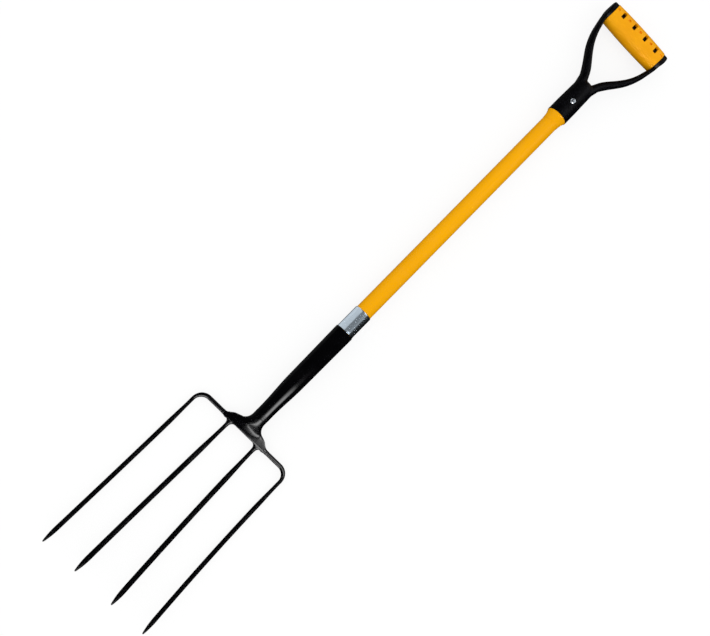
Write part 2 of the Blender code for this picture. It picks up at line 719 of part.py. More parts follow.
def build_yoke(shaft, upper_plug):
    axis = (0, 0, AXIS_HEIGHT)
    body = [
        (0, CROTCH),
        *[crown_point(turn) for turn in CROWN_TURNS],
        (HANDLE_TOP_RADIUS, CROTCH - CROWN_HEIGHT),
        (HANDLE_MOUTH_RADIUS, HANDLE_MOUTH + HANDLE_STRAIGHT),
        (HANDLE_MOUTH_RADIUS, HANDLE_MOUTH + HANDLE_MOUTH_ROUNDING),
        (HANDLE_MOUTH_RADIUS - HANDLE_MOUTH_ROUNDING, HANDLE_MOUTH),
        (0, HANDLE_MOUTH),
    ]
    yoke = turned("d_handle_yoke", body, axis, ALONG_Y)
    for side, word in ((1, "right"), (-1, "left")):
        name = f"yoke_arm_{word}"
        boolean(yoke, place(name, arm_mesh(name, side), axis, cutter=True), "UNION")
    grip_place = (0, GRIP_CENTRE, AXIS_HEIGHT)
    room_radius = max(GRIP_MIDDLE_RADIUS, GRIP_END_RADIUS) + GAP
    room_half = EAR_INSIDE - GAP / 3    # just short of the ears, which close the rest
    boolean(yoke, cylinder_cutter(
        "grip_room", room_radius, -room_half, room_half, grip_place, ALONG_X
    ))

    half_spool = [
        (EAR_RADIUS - EAR_ROUNDING, EAR_OUTSIDE),
        (EAR_RADIUS - ARC_MIDDLE * EAR_ROUNDING, EAR_OUTSIDE - ARC_MIDDLE * EAR_ROUNDING),
        (EAR_RADIUS, EAR_OUTSIDE - EAR_ROUNDING),
        (EAR_RADIUS, EAR_INSIDE),
        (GRIP_BAR_RADIUS, EAR_INSIDE),
    ]
    lower_half = [(radius, -height) for radius, height in reversed(half_spool)]
    spool = [(0, EAR_OUTSIDE), *half_spool, *lower_half, (0, -EAR_OUTSIDE)]
    boolean(yoke, turned("ears_and_bar", spool, grip_place, ALONG_X, cutter=True), "UNION")

    boolean(yoke, cylinder_cutter(
        "handle_bore", SHAFT_RADIUS + GAP, HANDLE_MOUTH - CUT_THROUGH, BORE_END, axis, ALONG_Y
    ))
    build_handle_rivet(yoke, shaft, upper_plug)


def build_handle_rivet(yoke, shaft, upper_plug):
    """A rivet with a domed head in front, through everything, set over a washer at the back."""
    place_at = (0, RIVET_STATION, AXIS_HEIGHT)
    seat = HANDLE_MOUTH_RADIUS - SPOT_FACE_DEPTH
    pocket_floor = HANDLE_MOUTH_RADIUS - TAIL_POCKET_DEPTH
    spot_face = cylinder_cutter(
        "spot_face", RIVET_HEAD_RADIUS + SPOT_FACE_CLEARANCE, seat, CUT_THROUGH, place_at, UPRIGHT
    )
    tail_pocket = cylinder_cutter(
        "tail_pocket", WASHER_RADIUS + GAP, pocket_floor, CUT_THROUGH, place_at, UPSIDE_DOWN
    )
    hole = cylinder_cutter(
        "rivet_hole", PIN_RADIUS + GAP, -CUT_THROUGH, CUT_THROUGH, place_at, UPRIGHT, BAR_STEPS
    )
    for cutter in (spot_face, tail_pocket, hole):
        boolean(yoke, cutter)
    for drilled in (shaft, upper_plug):
        boolean(drilled, hole)

    washer_top = pocket_floor + GAP
    washer_bottom = washer_top + WASHER_THICKNESS
    turned(
        "rivet_washer",
        [
            (WASHER_RADIUS, washer_bottom),
            (WASHER_RADIUS, washer_top),
            (PIN_RADIUS + GAP, washer_top),
            (PIN_RADIUS + GAP, washer_bottom),
        ],
        place_at,
        UPSIDE_DOWN,
        ring=True,
        steps=BAR_STEPS,
    )
    under_head = seat + GAP
    dome = []
    for angle in RIVET_DOME_TURNS:
        turn = math.radians(angle)
        radius = RIVET_HEAD_RADIUS * math.cos(turn)
        dome.append((radius, under_head + RIVET_HEAD_HEIGHT * math.sin(turn)))
    tail_top = -(washer_bottom + GAP)
    tail_bottom = tail_top - TAIL_HEIGHT
    shank = [
        (PIN_RADIUS, under_head),
        (PIN_RADIUS, tail_top),
        (TAIL_RADIUS, tail_top),
        (TAIL_RADIUS - TAIL_BEVEL, tail_bottom),
        (0, tail_bottom),
    ]
    turned("handle_rivet", dome + shank, place_at, UPRIGHT, steps=BAR_STEPS)


def window_cutter(name, x):
    """A slot through the sleeve, front and back, with its upright corners rounded."""
    depth = 4 * GRIP_MIDDLE_RADIUS
    shape = bmesh.new()
    bmesh.ops.create_cube(shape, size=1)
    bmesh.ops.scale(shape, vec=(WINDOW_WIDTH, WINDOW_LENGTH, depth), verts=shape.verts)
    upright = [
        edge for edge in shape.edges
        if abs(edge.verts[0].co.z - edge.verts[1].co.z) > GRIP_MIDDLE_RADIUS
    ]
    bmesh.ops.bevel(
        shape, geom=upright, offset=WINDOW_ROUNDING, segments=3, profile=0.5, affect="EDGES"
    )
    mesh = bpy.data.meshes.new(name)
    shape.to_mesh(mesh)
    shape.free()
    turn = (-WINDOW_TURN, 0, 0)
    return place(name, mesh, (x, GRIP_CENTRE, AXIS_HEIGHT), turn, cutter=True)


def build_grip():
    end = GRIP_HALF_LENGTH
    edge = GRIP_ROUNDING
    outside = [(grip_radius(end) - edge, end)]
    outside += [(grip_radius(x), x) for x in stations(end - edge, edge - end, 12)]
    outside += [(grip_radius(end) - edge, -end)]
    bore = GRIP_BAR_RADIUS + GAP
    inside = [(bore, -end), (bore, end)]
    grip_place = (0, GRIP_CENTRE, AXIS_HEIGHT)
    sleeve = turned("grip_sleeve", outside + inside, grip_place, ALONG_X, ring=True)
    for index, share in enumerate((-1.5, -0.5, 0.5, 1.5)):
        boolean(sleeve, window_cutter(f"window_{index}", share * WINDOW_PITCH))
    front = (-WINDOW_TURN, 0, 0)
    back = (math.radians(180) - WINDOW_TURN, 0, 0)
    for index in range(-2, 3):
        x = index * WINDOW_PITCH
        bottom = grip_radius(x) - DIMPLE_DEPTH
        for face, turn in (("front", front), ("back", back)):
            dimple = cylinder_cutter(
                f"dimple_{face}_{index + 2}", DIMPLE_RADIUS, bottom, CUT_THROUGH,
                (x, GRIP_CENTRE, AXIS_HEIGHT), turn, steps=12,
            )
            boolean(sleeve, dimple)


build_tines()
build_crosshead()
shaft_and_plug = build_socket_and_shaft()
build_yoke(*shaft_and_plug)
build_grip()
for item in PARTS.objects:
    if item.type == "MESH":
        round_shading(item.data)
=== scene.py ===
"""The looks of a four-tine pitchfork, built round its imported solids, in metres.

The fork lies on its back with its length along Y, the tips towards -Y and the D-handle towards +Y.
The sections follow the fork as it is put together: head, socket, ferrule, shaft, D-handle, grip.
"""

import math

import bmesh
import bpy
from mathutils import Matrix, Vector


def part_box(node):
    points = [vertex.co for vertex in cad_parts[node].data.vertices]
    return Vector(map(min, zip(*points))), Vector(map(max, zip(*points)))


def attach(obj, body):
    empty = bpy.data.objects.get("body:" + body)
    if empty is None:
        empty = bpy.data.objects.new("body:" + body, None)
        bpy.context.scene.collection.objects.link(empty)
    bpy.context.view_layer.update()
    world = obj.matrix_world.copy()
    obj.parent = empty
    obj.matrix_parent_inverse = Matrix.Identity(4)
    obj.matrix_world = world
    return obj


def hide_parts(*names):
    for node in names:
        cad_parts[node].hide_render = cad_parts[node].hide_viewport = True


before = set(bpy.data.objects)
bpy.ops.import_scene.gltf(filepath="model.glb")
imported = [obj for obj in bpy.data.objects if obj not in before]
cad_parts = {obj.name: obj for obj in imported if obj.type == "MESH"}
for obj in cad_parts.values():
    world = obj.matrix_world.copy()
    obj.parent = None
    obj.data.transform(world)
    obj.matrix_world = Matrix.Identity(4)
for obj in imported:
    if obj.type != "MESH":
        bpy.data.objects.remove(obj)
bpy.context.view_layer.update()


# Crosshead and neck
# One steel forging: a flat-backed plate across the four tines that rises in a goose neck to the
# socket's axis. It is forged in one blow, so all its inside corners are soft, and it is painted
# gloss black after welding.

CROSSHEAD_LOW, CROSSHEAD_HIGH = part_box("crosshead")
SHAFT_LOW, SHAFT_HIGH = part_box("shaft")
AXIS_Z = (SHAFT_LOW.z + SHAFT_HIGH.z) / 2
SIDES = {"right": 1, "left": -1}
FRONT_EDGE = 0.0032             # from the tine bar to the plate's edge between the inner tines
BAR_Y = CROSSHEAD_LOW.y + FRONT_EDGE
PLATE_THICKNESS = 0.015
PLATE_MIDDLE_Z = PLATE_THICKNESS / 2
PLATE_HALF_WIDTH = CROSSHEAD_HIGH.x
END_ROUNDING = 0.0022
# The back edge from the end in to the neck's fillet: distance from the middle, and height above
# the tine bar.
SHOULDER = [
    (PLATE_HALF_WIDTH, 0.0054), (0.0372, 0.0073), (0.0340, 0.0099), (0.0308, 0.0117),
    (0.0270, 0.0130), (0.0230, 0.0144), (0.0200, 0.0156),
]
NECK_END = 0.038                # stations along Y are measured from the tine bar
NECK_RADIUS = 0.0128
NECK_FILLET = (0.031, 0.018, 0.92)  # where it starts, its radius and its depth's share of that
NECK_FOOT = 0.004
NECK_DROP_DELAY = 1.6           # more than 1 keeps the neck at the socket's height for longer
FORGED_VOXEL, FORGED_SOFTENING = 0.00045, 24
# Where the neck's foot is softened further, from nothing to full: across, up and along.
FOOT_ACROSS, FOOT_UP = (0.030, 0.024), (0.0095, 0.0125)
FOOT_ALONG = (0.0015, 0.0050), (0.032, 0.026)
FOOT_SOFTENING = 480
INNER_ROOT_X = 0.0289
INNER_BAR_RADIUS = 0.0033
LEG_RADIUS = 0.0037
ROOT_SKIN = 0.00015             # a root boss is this much fuller than the bar that leaves it
INNER_BOSS = (0.0075, 0.0080, 0.48, 1.0)    # spread, reach, flattening in Z and towards -Y
OUTER_BOSS = (0.0020, 0.0065, 0.8, 0.66)
BOSS_FOOT = 0.004               # how deep a boss is sunk in the plate
CROWN_START, CROWN_DROP = 0.008, 0.0022     # the plate's top falls away from here to its ends
FRONT_SLOPE, FRONT_DROP = 0.0035, 0.0012    # and over this depth to its front edge


def kept(name, shape):
    mesh = bpy.data.meshes.new(name)
    shape.to_mesh(mesh)
    shape.free()
    return mesh


def turned(name, profile, spot, along=(0, 1, 0), steps=96, ring=False):
    """A mesh turned from (radius, height) points about an axis through spot."""
    shape = bmesh.new()
    rows = []
    for radius, height in profile:
        count = 1 if radius == 0 else steps
        turns = [2 * math.pi * step / steps for step in range(count)]
        rows.append([
            shape.verts.new((radius * math.cos(turn), radius * math.sin(turn), height))
            for turn in turns
        ])
    pairs = list(zip(rows, rows[1:]))
    if ring:
        pairs.append((rows[-1], rows[0]))
    for lower, upper in pairs:
        for step in range(steps):
            after = (step + 1) % steps
            corners = [lower[step % len(lower)], lower[after % len(lower)],
                       upper[after % len(upper)], upper[step % len(upper)]]
            shape.faces.new(list(dict.fromkeys(corners)))
    bmesh.ops.recalc_face_normals(shape, faces=shape.faces)
    turn = Vector((0, 0, 1)).rotation_difference(Vector(along)).to_matrix().to_4x4()
    bmesh.ops.transform(shape, matrix=Matrix.Translation(spot) @ turn, verts=shape.verts)
    return kept(name, shape)


def lofted(name, rings):
    """A closed mesh over rings of points, with a face on each end."""
    shape = bmesh.new()
    rows = [[shape.verts.new(corner) for corner in ring] for ring in rings]
    for lower, upper in zip(rows, rows[1:]):
        for index in range(len(lower)):
            after = (index + 1) % len(lower)
            shape.faces.new((lower[index], lower[after], upper[after], upper[index]))
    shape.faces.new(rows[0])
    shape.faces.new(rows[-1])
    bmesh.ops.recalc_face_normals(shape, faces=shape.faces)
    return kept(name, shape)


def shown(name, data):
    made = bpy.data.objects.new(name, data)
    bpy.context.scene.collection.objects.link(made)
    return made


def joined(name, meshes):
    """A piece of several meshes, still separate bodies."""
    shape = bmesh.new()
    for mesh in meshes:
        shape.from_mesh(mesh)
    return shown(name, kept(name, shape))


def settled(piece):
    """Replaces the piece's mesh by what its modifiers make of it."""
    graph = bpy.context.evaluated_depsgraph_get()
    mesh = bpy.data.meshes.new_from_object(piece.evaluated_get(graph))
    piece.modifiers.clear()
    piece.data = mesh
    mesh.name = piece.name
    return piece


def softened(piece, rounds, group=""):
    """Relaxes a piece's skin, or only the part of it in a vertex group."""
    soften = piece.modifiers.new("soften", "SMOOTH")
    soften.factor = 0.5
    soften.iterations = rounds
    soften.vertex_group = group
    return settled(piece)


def fused(piece, voxel, rounds):
    """Melts a piece's overlapping bodies into one skin and softens its inside corners."""
    melt = piece.modifiers.new("melt", "REMESH")
    melt.mode = "VOXEL"
    melt.voxel_size = voxel
    return softened(piece, rounds)


def cut_off(piece, spot, normal):
    """Takes away what lies past a plane and closes the end."""
    shape = bmesh.new()
    shape.from_mesh(piece.data)
    everything = shape.verts[:] + shape.edges[:] + shape.faces[:]
    result = bmesh.ops.bisect_plane(
        shape, geom=everything, plane_co=spot, plane_no=normal, clear_outer=True
    )
    rim = [item for item in result["geom_cut"] if isinstance(item, bmesh.types.BMEdge)]
    bmesh.ops.edgeloop_fill(shape, edges=rim)
    shape.to_mesh(piece.data)
    shape.free()


def coated(piece, finish):
    piece.data.materials.clear()
    piece.data.materials.append(finish)


def finished(piece, finish, replaced, angle=35):
    """Smooths a piece, gives it its material, hangs it on the root body and hides the solid that it
    stands for.
    """
    piece.data.shade_smooth()
    piece.data.set_sharp_from_angle(angle=math.radians(angle))
    coated(piece, finish)
    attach(piece, "root")
    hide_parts(replaced)


class Wire:
    """What a node puts out. A sum on it adds a math node, and [name] is another output."""

    def __init__(self, socket):
        self.socket = socket
        self.id_data = socket.id_data

    def __getitem__(self, name):
        return Wire(self.socket.node.outputs[name])

    def __add__(self, other):
        return reckoned("ADD", self, other)

    def __sub__(self, other):
        return reckoned("SUBTRACT", self, other)

    def __rsub__(self, other):
        return reckoned("SUBTRACT", other, self)

    def __mul__(self, other):
        return reckoned("MULTIPLY", self, other)

    def __truediv__(self, other):
        return reckoned("DIVIDE", self, other)

    def __rtruediv__(self, other):
        return reckoned("DIVIDE", other, self)

    def __pow__(self, other):
        return reckoned("POWER", self, other)


def spaced(words):
    return {label.replace("_", " "): value for label, value in words.items()}


def node(owner, kind, inputs=(), **settings):
    """Adds a node to the owner's tree, with values, a wire or a list of wires for its inputs."""
    tree = owner.id_data
    made = tree.nodes.new(kind)
    for key, value in settings.items():
        setattr(made, key, value)
    for socket, value in dict(inputs).items():
        wires = value if isinstance(value, list) else [value]
        for wire in wires:
            if isinstance(wire, Wire):
                tree.links.new(wire.socket, made.inputs[socket])
            else:
                made.inputs[socket].default_value = wire
    return Wire(made.outputs[0])


def linked(target, **wires):
    """Links wires to a node's inputs."""
    for label, wire in spaced(wires).items():
        target.id_data.links.new(wire.socket, target.inputs[label])


def reckoned(operation, *values, clamp=False):
    """A math node on these values and wires."""
    owner = next(value for value in values if isinstance(value, Wire))
    return node(owner, "ShaderNodeMath", enumerate(values), operation=operation, use_clamp=clamp)


def remapped(value, low, high, to_low=0.0, to_high=1.0, smooth=True):
    return node(
        value, "ShaderNodeMapRange",
        {"Value": value, "From Min": low, "From Max": high, "To Min": to_low, "To Max": to_high},
        interpolation_type="SMOOTHSTEP" if smooth else "LINEAR",
    )


def noise(place, scale, detail=2.0, roughness=0.5, stretch=(1, 1, 1)):
    stretched = node(place, "ShaderNodeMapping", {"Vector": place, "Scale": stretch})
    return node(
        place, "ShaderNodeTexNoise",
        {"Vector": stretched, "Scale": scale, "Detail": detail, "Roughness": roughness},
    )["Fac"]


def blended(factor, first, second):
    return node(factor, "ShaderNodeMix", {0: factor, 6: first, 7: second}, data_type="RGBA")[2]


def new_tree(name, kind, inputs, outputs):
    """A node tree with named sockets of these kinds: the tree, its inputs and its output node."""
    tree = bpy.data.node_groups.new(name, kind)
    for way, sockets in (("INPUT", inputs), ("OUTPUT", outputs)):
        for label, socket_kind in sockets.items():
            tree.interface.new_socket(label, in_out=way, socket_type="NodeSocket" + socket_kind)
    inner = Wire(tree.nodes.new("NodeGroupInput").outputs[0])
    return tree, inner, tree.nodes.new("NodeGroupOutput")


def make_sprayed_skin():
    """Sprayed gloss paint: drifts of tone, orange peel, and a duller film where it was handled."""
    tree, inner, out = new_tree(
        "sprayed_skin", "ShaderNodeTree",
        {"Place": "Vector", "Peel Size": "Float", "Peel Height": "Float", "Paint": "Color",
         "Thin Paint": "Color", "Gloss": "Float", "Handled": "Float"},
        {"Color": "Color", "Roughness": "Float", "Height": "Float"},
    )
    place = inner["Place"]
    peel = noise(place, 1.0 / inner["Peel Size"], 1.5)
    blows = noise(place, 95.0)
    film = remapped(noise(place, 38.0, 4.0, 0.62), 0.42, 0.66)
    grit = remapped(noise(place, 2600.0, 1.0), 0.62, 0.78)
    worn = reckoned("MAXIMUM", film * 0.55, grit)
    linked(
        out, Color=blended(worn, inner["Paint"], inner["Thin Paint"]),
        Roughness=inner["Gloss"] + film * inner["Handled"] + peel * 0.04,
        Height=peel * inner["Peel Height"] + blows * 1.6 + grit * 0.15,
    )
    return tree


def grouped(group, **inputs):
    """Places a shader group with these values and wires."""
    return node(inputs["Place"], "ShaderNodeGroup", spaced(inputs), node_tree=group)


def material(name, **settings):
    """A new material: itself, its Principled shader and its Object coordinates."""
    made = bpy.data.materials.new(name)
    made.use_nodes = True
    shader = made.node_tree.nodes["Principled BSDF"]
    for label, value in spaced(settings).items():
        shader.inputs[label].default_value = value
    return made, shader, node(shader, "ShaderNodeTexCoord")["Object"]


def bumped(shader, height, depth, strength=1.0):
    """Height, in units of depth, as a bump in the shader's normal."""
    bump = node(shader, "ShaderNodeBump", {"Height": height, "Distance": depth, "Strength": strength})
    linked(shader, Normal=bump)


SPRAYED_SKIN = make_sprayed_skin()


def black_paint(name, peel_size, peel_height, gloss, handled, depth=0.00008):
    made, shader, place = material(name, Specular_IOR_Level=0.2)
    skin = grouped(
        SPRAYED_SKIN, Place=place, Peel_Size=peel_size, Peel_Height=peel_height, Gloss=gloss,
        Handled=handled, Paint=(0.0008, 0.0008, 0.0012, 1), Thin_Paint=(0.002, 0.002, 0.0025, 1),
    )
    linked(shader, Base_Color=skin["Color"], Roughness=skin["Roughness"])
    bumped(shader, skin["Height"], depth)
    return made


def neck_half_width(y):
    """The round neck's radius, then a fillet that runs out into the plate's shoulders."""
    start, radius, share = NECK_FILLET
    depth = min(max(start - y, 0.0), share * radius)
    return NECK_RADIUS + radius - math.sqrt(radius ** 2 - depth ** 2)


def ease(value, start, end):
    share = min(max((value - start) / (end - start), 0.0), 1.0)
    return share * share * (3 - 2 * share)


def neck_rings(top, steps=48, sides=72):
    rings = []
    foot_half = PLATE_THICKNESS / 2 - 0.0003
    turns = [2 * math.pi * side / sides for side in range(sides)]
    for step in range(steps + 1):
        y = top + (NECK_FOOT - top) * step / steps
        sunk = max(NECK_END - y, 0.0) / (NECK_END - NECK_FOOT)
        settle = ease(sunk ** NECK_DROP_DELAY, 0.0, 1.0)
        half_height = NECK_RADIUS + (foot_half - NECK_RADIUS) * settle
        middle = AXIS_Z + (PLATE_MIDDLE_Z - AXIS_Z) * settle
        rings.append([
            (neck_half_width(y) * math.cos(turn), BAR_Y + y, middle + half_height * math.sin(turn))
            for turn in turns
        ])
    return rings


def between(rows, share):
    """A smooth row between the listed ones, by the Catmull-Rom rule."""
    last = len(rows) - 1
    position = min(share * last, last - 1e-9)
    index = int(position)
    t = position - index
    picked = [rows[min(max(index + step, 0), last)] for step in (-1, 0, 1, 2)]
    return [
        0.5 * (2 * b + (c - a) * t + (2 * a - 5 * b + 4 * c - d) * t * t
               + (3 * b - a - 3 * c + d) * t ** 3)
        for a, b, c, d in zip(*picked)
    ]


def plate_outline(steps=36):
    """The plate from above, clockwise from the middle of its front edge."""
    half = [
        (PLATE_HALF_WIDTH - END_ROUNDING, -FRONT_EDGE), (PLATE_HALF_WIDTH, END_ROUNDING - FRONT_EDGE)
    ]
    half += [tuple(between(SHOULDER, step / steps)) for step in range(steps + 1)]
    return half + [(-x, y) for x, y in reversed(half)]


def root_boss(spot, along, bar_radius, boss, rows=14):
    """The hollow fillet that a tine's root grows out of, as a solid round the bar."""
    spread, reach, flat_z, flat_front = boss
    full = bar_radius + ROOT_SKIN
    profile = [(0, reach)]
    for row in range(rows + 1):
        turn = math.pi / 2 * row / rows
        profile.append((full + spread * (1 - math.cos(turn)), reach * (1 - math.sin(turn))))
    profile += [(full + 0.5 * spread, -BOSS_FOOT), (0, -BOSS_FOOT)]
    mesh = turned("root_boss", profile, spot, along)
    for vertex in mesh.vertices:
        beyond = vertex.co - Vector(spot)
        beyond -= Vector(along) * beyond.dot(Vector(along))
        if beyond.length > full:
            extra = (beyond.length - full) / beyond.length
            vertex.co.z -= beyond.z * extra * (1 - flat_z)
            vertex.co.y -= min(beyond.y, 0) * extra * (1 - flat_front)
    return mesh


def crowned(mesh):
    """Lowers the plate's top towards its ends, down to the height of the legs."""
    leg_top = PLATE_MIDDLE_Z + LEG_RADIUS
    for vertex in mesh.vertices:
        share = (abs(vertex.co.x) - CROWN_START) / (PLATE_HALF_WIDTH - CROWN_START)
        drop = CROWN_DROP * min(max(share, 0), 1) ** 1.3
        share = 1 - (vertex.co.y - CROSSHEAD_LOW.y) / FRONT_SLOPE
        drop += FRONT_DROP * min(max(share, 0), 1) ** 2
        above = (vertex.co.z - leg_top) / (PLATE_THICKNESS - leg_top)
        vertex.co.z -= drop * min(max(above, 0), 1)


def foot_softened(piece):
    """Widens the inside corner where the neck's foot meets the plate, as a forging die leaves it."""
    corner = piece.vertex_groups.new(name="corner")
    for vertex in piece.data.vertices:
        x, y, z = vertex.co
        weight = ease(abs(x), *FOOT_ACROSS) * ease(z, *FOOT_UP)
        for end in FOOT_ALONG:
            weight *= ease(y - BAR_Y, *end)
        if weight:
            corner.add([vertex.index], weight, "REPLACE")
    softened(piece, FOOT_SOFTENING, corner.name)
    piece.vertex_groups.clear()


# Each tine's root on the head: its spot, the way that the bar leaves it, its radius and its boss.
ROOTS = {}
for word, side in SIDES.items():
    ROOTS["inner", word] = (
        (side * INNER_ROOT_X, BAR_Y - FRONT_EDGE, PLATE_MIDDLE_Z), (0, -1, 0), INNER_BAR_RADIUS,
        INNER_BOSS,
    )
    ROOTS["outer", word] = (
        (side * PLATE_HALF_WIDTH, BAR_Y, PLATE_MIDDLE_Z), (side, 0, 0), LEG_RADIUS, OUTER_BOSS
    )

plate_bottom = 0.00005
plate = lofted("plate", [
    [(x, BAR_Y + y, z) for x, y in plate_outline()] for z in (plate_bottom, PLATE_THICKNESS)
])
neck = lofted("neck", neck_rings(NECK_END + 0.004))
root_bosses = [root_boss(*root) for root in ROOTS.values()]
crosshead = joined("head_forging", [plate, neck, *root_bosses])
fused(crosshead, FORGED_VOXEL, FORGED_SOFTENING)
foot_softened(crosshead)
crowned(crosshead.data)
cut_off(crosshead, (0, BAR_Y + NECK_END, 0), (0, 1, 0))
FORGED_PAINT = black_paint("gloss_black_on_forging", 0.0017, 0.55, 0.15, 0.07)
finished(crosshead, FORGED_PAINT, "crosshead", 50)


# Tines
# Four round bars drawn from spring steel. The outer two are bent square before they are welded to
# the crosshead's ends. All are thin behind the root, swell along the body and end in a ground
# point, and the floor carries them on a shallow belly.

TINE_REACH = BAR_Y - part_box("tine_outer_right")[0].y
OUTER_ROOT_X, OUTER_TIP_X = 0.0947, 0.1037
INNER_TIP_X = 0.0378
BEND_RADIUS = 0.018
SQUARE_RUN = 0.010              # stays square to the crosshead this far from the bar
BELLY_REACH = 0.100
FLOOR_CLEARANCE = 0.0002
OUTER_NECK_RADIUS, OUTER_BODY_RADIUS = 0.0030, 0.0039
INNER_BODY_RADIUS = 0.0044
SUNK_IN_HEAD = 0.001


def grown(piece, tree, **values):
    """Runs a Geometry Nodes tree on a piece with these inputs and keeps what it makes."""
    modifier = piece.modifiers.new("grow", "NODES")
    modifier.node_group = tree
    for label, value in spaced(values).items():
        modifier[tree.interface.items_tree[label].identifier] = value
    return settled(piece)


def point(owner, **parts):
    return node(owner, "ShaderNodeCombineXYZ", parts)


def pushed(shape, distance):
    """Moves each point of a shape along its normal."""
    normal = node(shape, "GeometryNodeInputNormal")
    push = node(shape, "ShaderNodeVectorMath", {0: normal, "Scale": distance}, operation="SCALE")
    return node(shape, "GeometryNodeSetPosition", {"Geometry": shape, "Offset": push})


def put_out(out, shape, finish):
    """Ends a tree with real faces that carry their material."""
    real = node(out, "GeometryNodeRealizeInstances", {0: shape})
    linked(out, Geometry=node(out, "GeometryNodeSetMaterial", {0: real, "Material": finish}))


def make_drawn_tine():
    """A round bar along bare corners: bent, bowed down to its belly, swelled and pointed."""
    sizes = ("Bend Radius", "Drift Start", "Drift", "Spread", "Reach", "Square Run", "Root Height",
             "Belly Height", "Belly Reach", "Leg Radius", "Neck Radius", "Body Radius", "Swell Start",
             "Swell End", "Tip Taper", "Tip Radius", "Tip Fullness", "Hammer Depth", "Seed")
    tree, inner, out = new_tree(
        "drawn_tine", "GeometryNodeTree",
        {"Geometry": "Geometry", **dict.fromkeys(sizes, "Float"), "Bar": "Vector",
         "Paint": "Material"},
        {"Geometry": "Geometry"},
    )
    path = node(tree, "GeometryNodeMeshToCurve", {"Mesh": inner["Geometry"]})
    path = node(
        tree, "GeometryNodeFilletCurve",
        {"Curve": path, "Count": 24, "Radius": inner["Bend Radius"], "Limit Radius": True},
        mode="POLY",
    )
    path = node(tree, "GeometryNodeResampleCurve", {"Curve": path, "Length": 0.0008}, mode="LENGTH")
    position = node(tree, "GeometryNodeInputPosition")
    run = node(tree, "ShaderNodeSeparateXYZ", {0: position})["Y"] * -1.0

    past_square = reckoned("MAXIMUM", run, inner["Square Run"])
    belly_run = inner["Square Run"] - inner["Belly Reach"]
    bow = ((past_square - inner["Belly Reach"]) / belly_run) ** 2.0
    height = bow * (inner["Root Height"] - inner["Belly Height"]) + inner["Belly Height"]
    drift_share = remapped(run, inner["Drift Start"], inner["Reach"], smooth=False)
    drift = drift_share ** inner["Spread"] * inner["Drift"]
    offset = node(
        tree, "ShaderNodeVectorMath", {0: point(tree, X=drift, Z=height), 1: inner["Bar"]}
    )

    leg_left = 1.0 - remapped(run, 0.0, inner["Bend Radius"])
    swell = remapped(run, inner["Swell Start"], inner["Swell End"])
    radius = leg_left * (inner["Leg Radius"] - inner["Neck Radius"]) + inner["Neck Radius"]
    radius = swell * (inner["Body Radius"] - inner["Neck Radius"]) + radius
    to_tip = inner["Reach"] - run
    taper = reckoned("DIVIDE", to_tip, inner["Tip Taper"], clamp=True)
    full = reckoned("SINE", taper * (math.pi / 2)) ** inner["Tip Fullness"]
    full = reckoned("MAXIMUM", full, 0.0)
    radius = full * (radius - inner["Tip Radius"]) + inner["Tip Radius"]
    flat = 1.0 - reckoned("DIVIDE", to_tip, inner["Tip Radius"], clamp=True)
    dome = reckoned("SQRT", 1.02 - flat ** 2.0)
    radius = radius * reckoned("MINIMUM", dome, 1.0)

    path = node(tree, "GeometryNodeSetCurveRadius", {"Curve": path, "Radius": radius})
    path = node(tree, "GeometryNodeSetPosition", {"Geometry": path, "Offset": offset})
    section = node(tree, "GeometryNodeCurvePrimitiveCircle", {"Resolution": 28, "Radius": 1.0})
    bar = node(tree, "GeometryNodeCurveToMesh", {
        "Curve": path, "Profile Curve": section, "Scale": node(tree, "GeometryNodeInputRadius"),
        "Fill Caps": True,
    })
    blows = node(
        tree, "ShaderNodeTexNoise",
        {"Vector": node(tree, "GeometryNodeInputPosition"), "W": inner["Seed"], "Scale": 120.0,
         "Detail": 1.0},
        noise_dimensions="4D",
    )
    put_out(out, pushed(bar, (blows - 1.0) * inner["Hammer Depth"]), inner["Paint"])
    return tree


def bent_path(name, points):
    """The bare corners of a bar's path, as a mesh of edges."""
    mesh = bpy.data.meshes.new(name)
    mesh.from_pydata(points, [(index, index + 1) for index in range(len(points) - 1)], [])
    return mesh


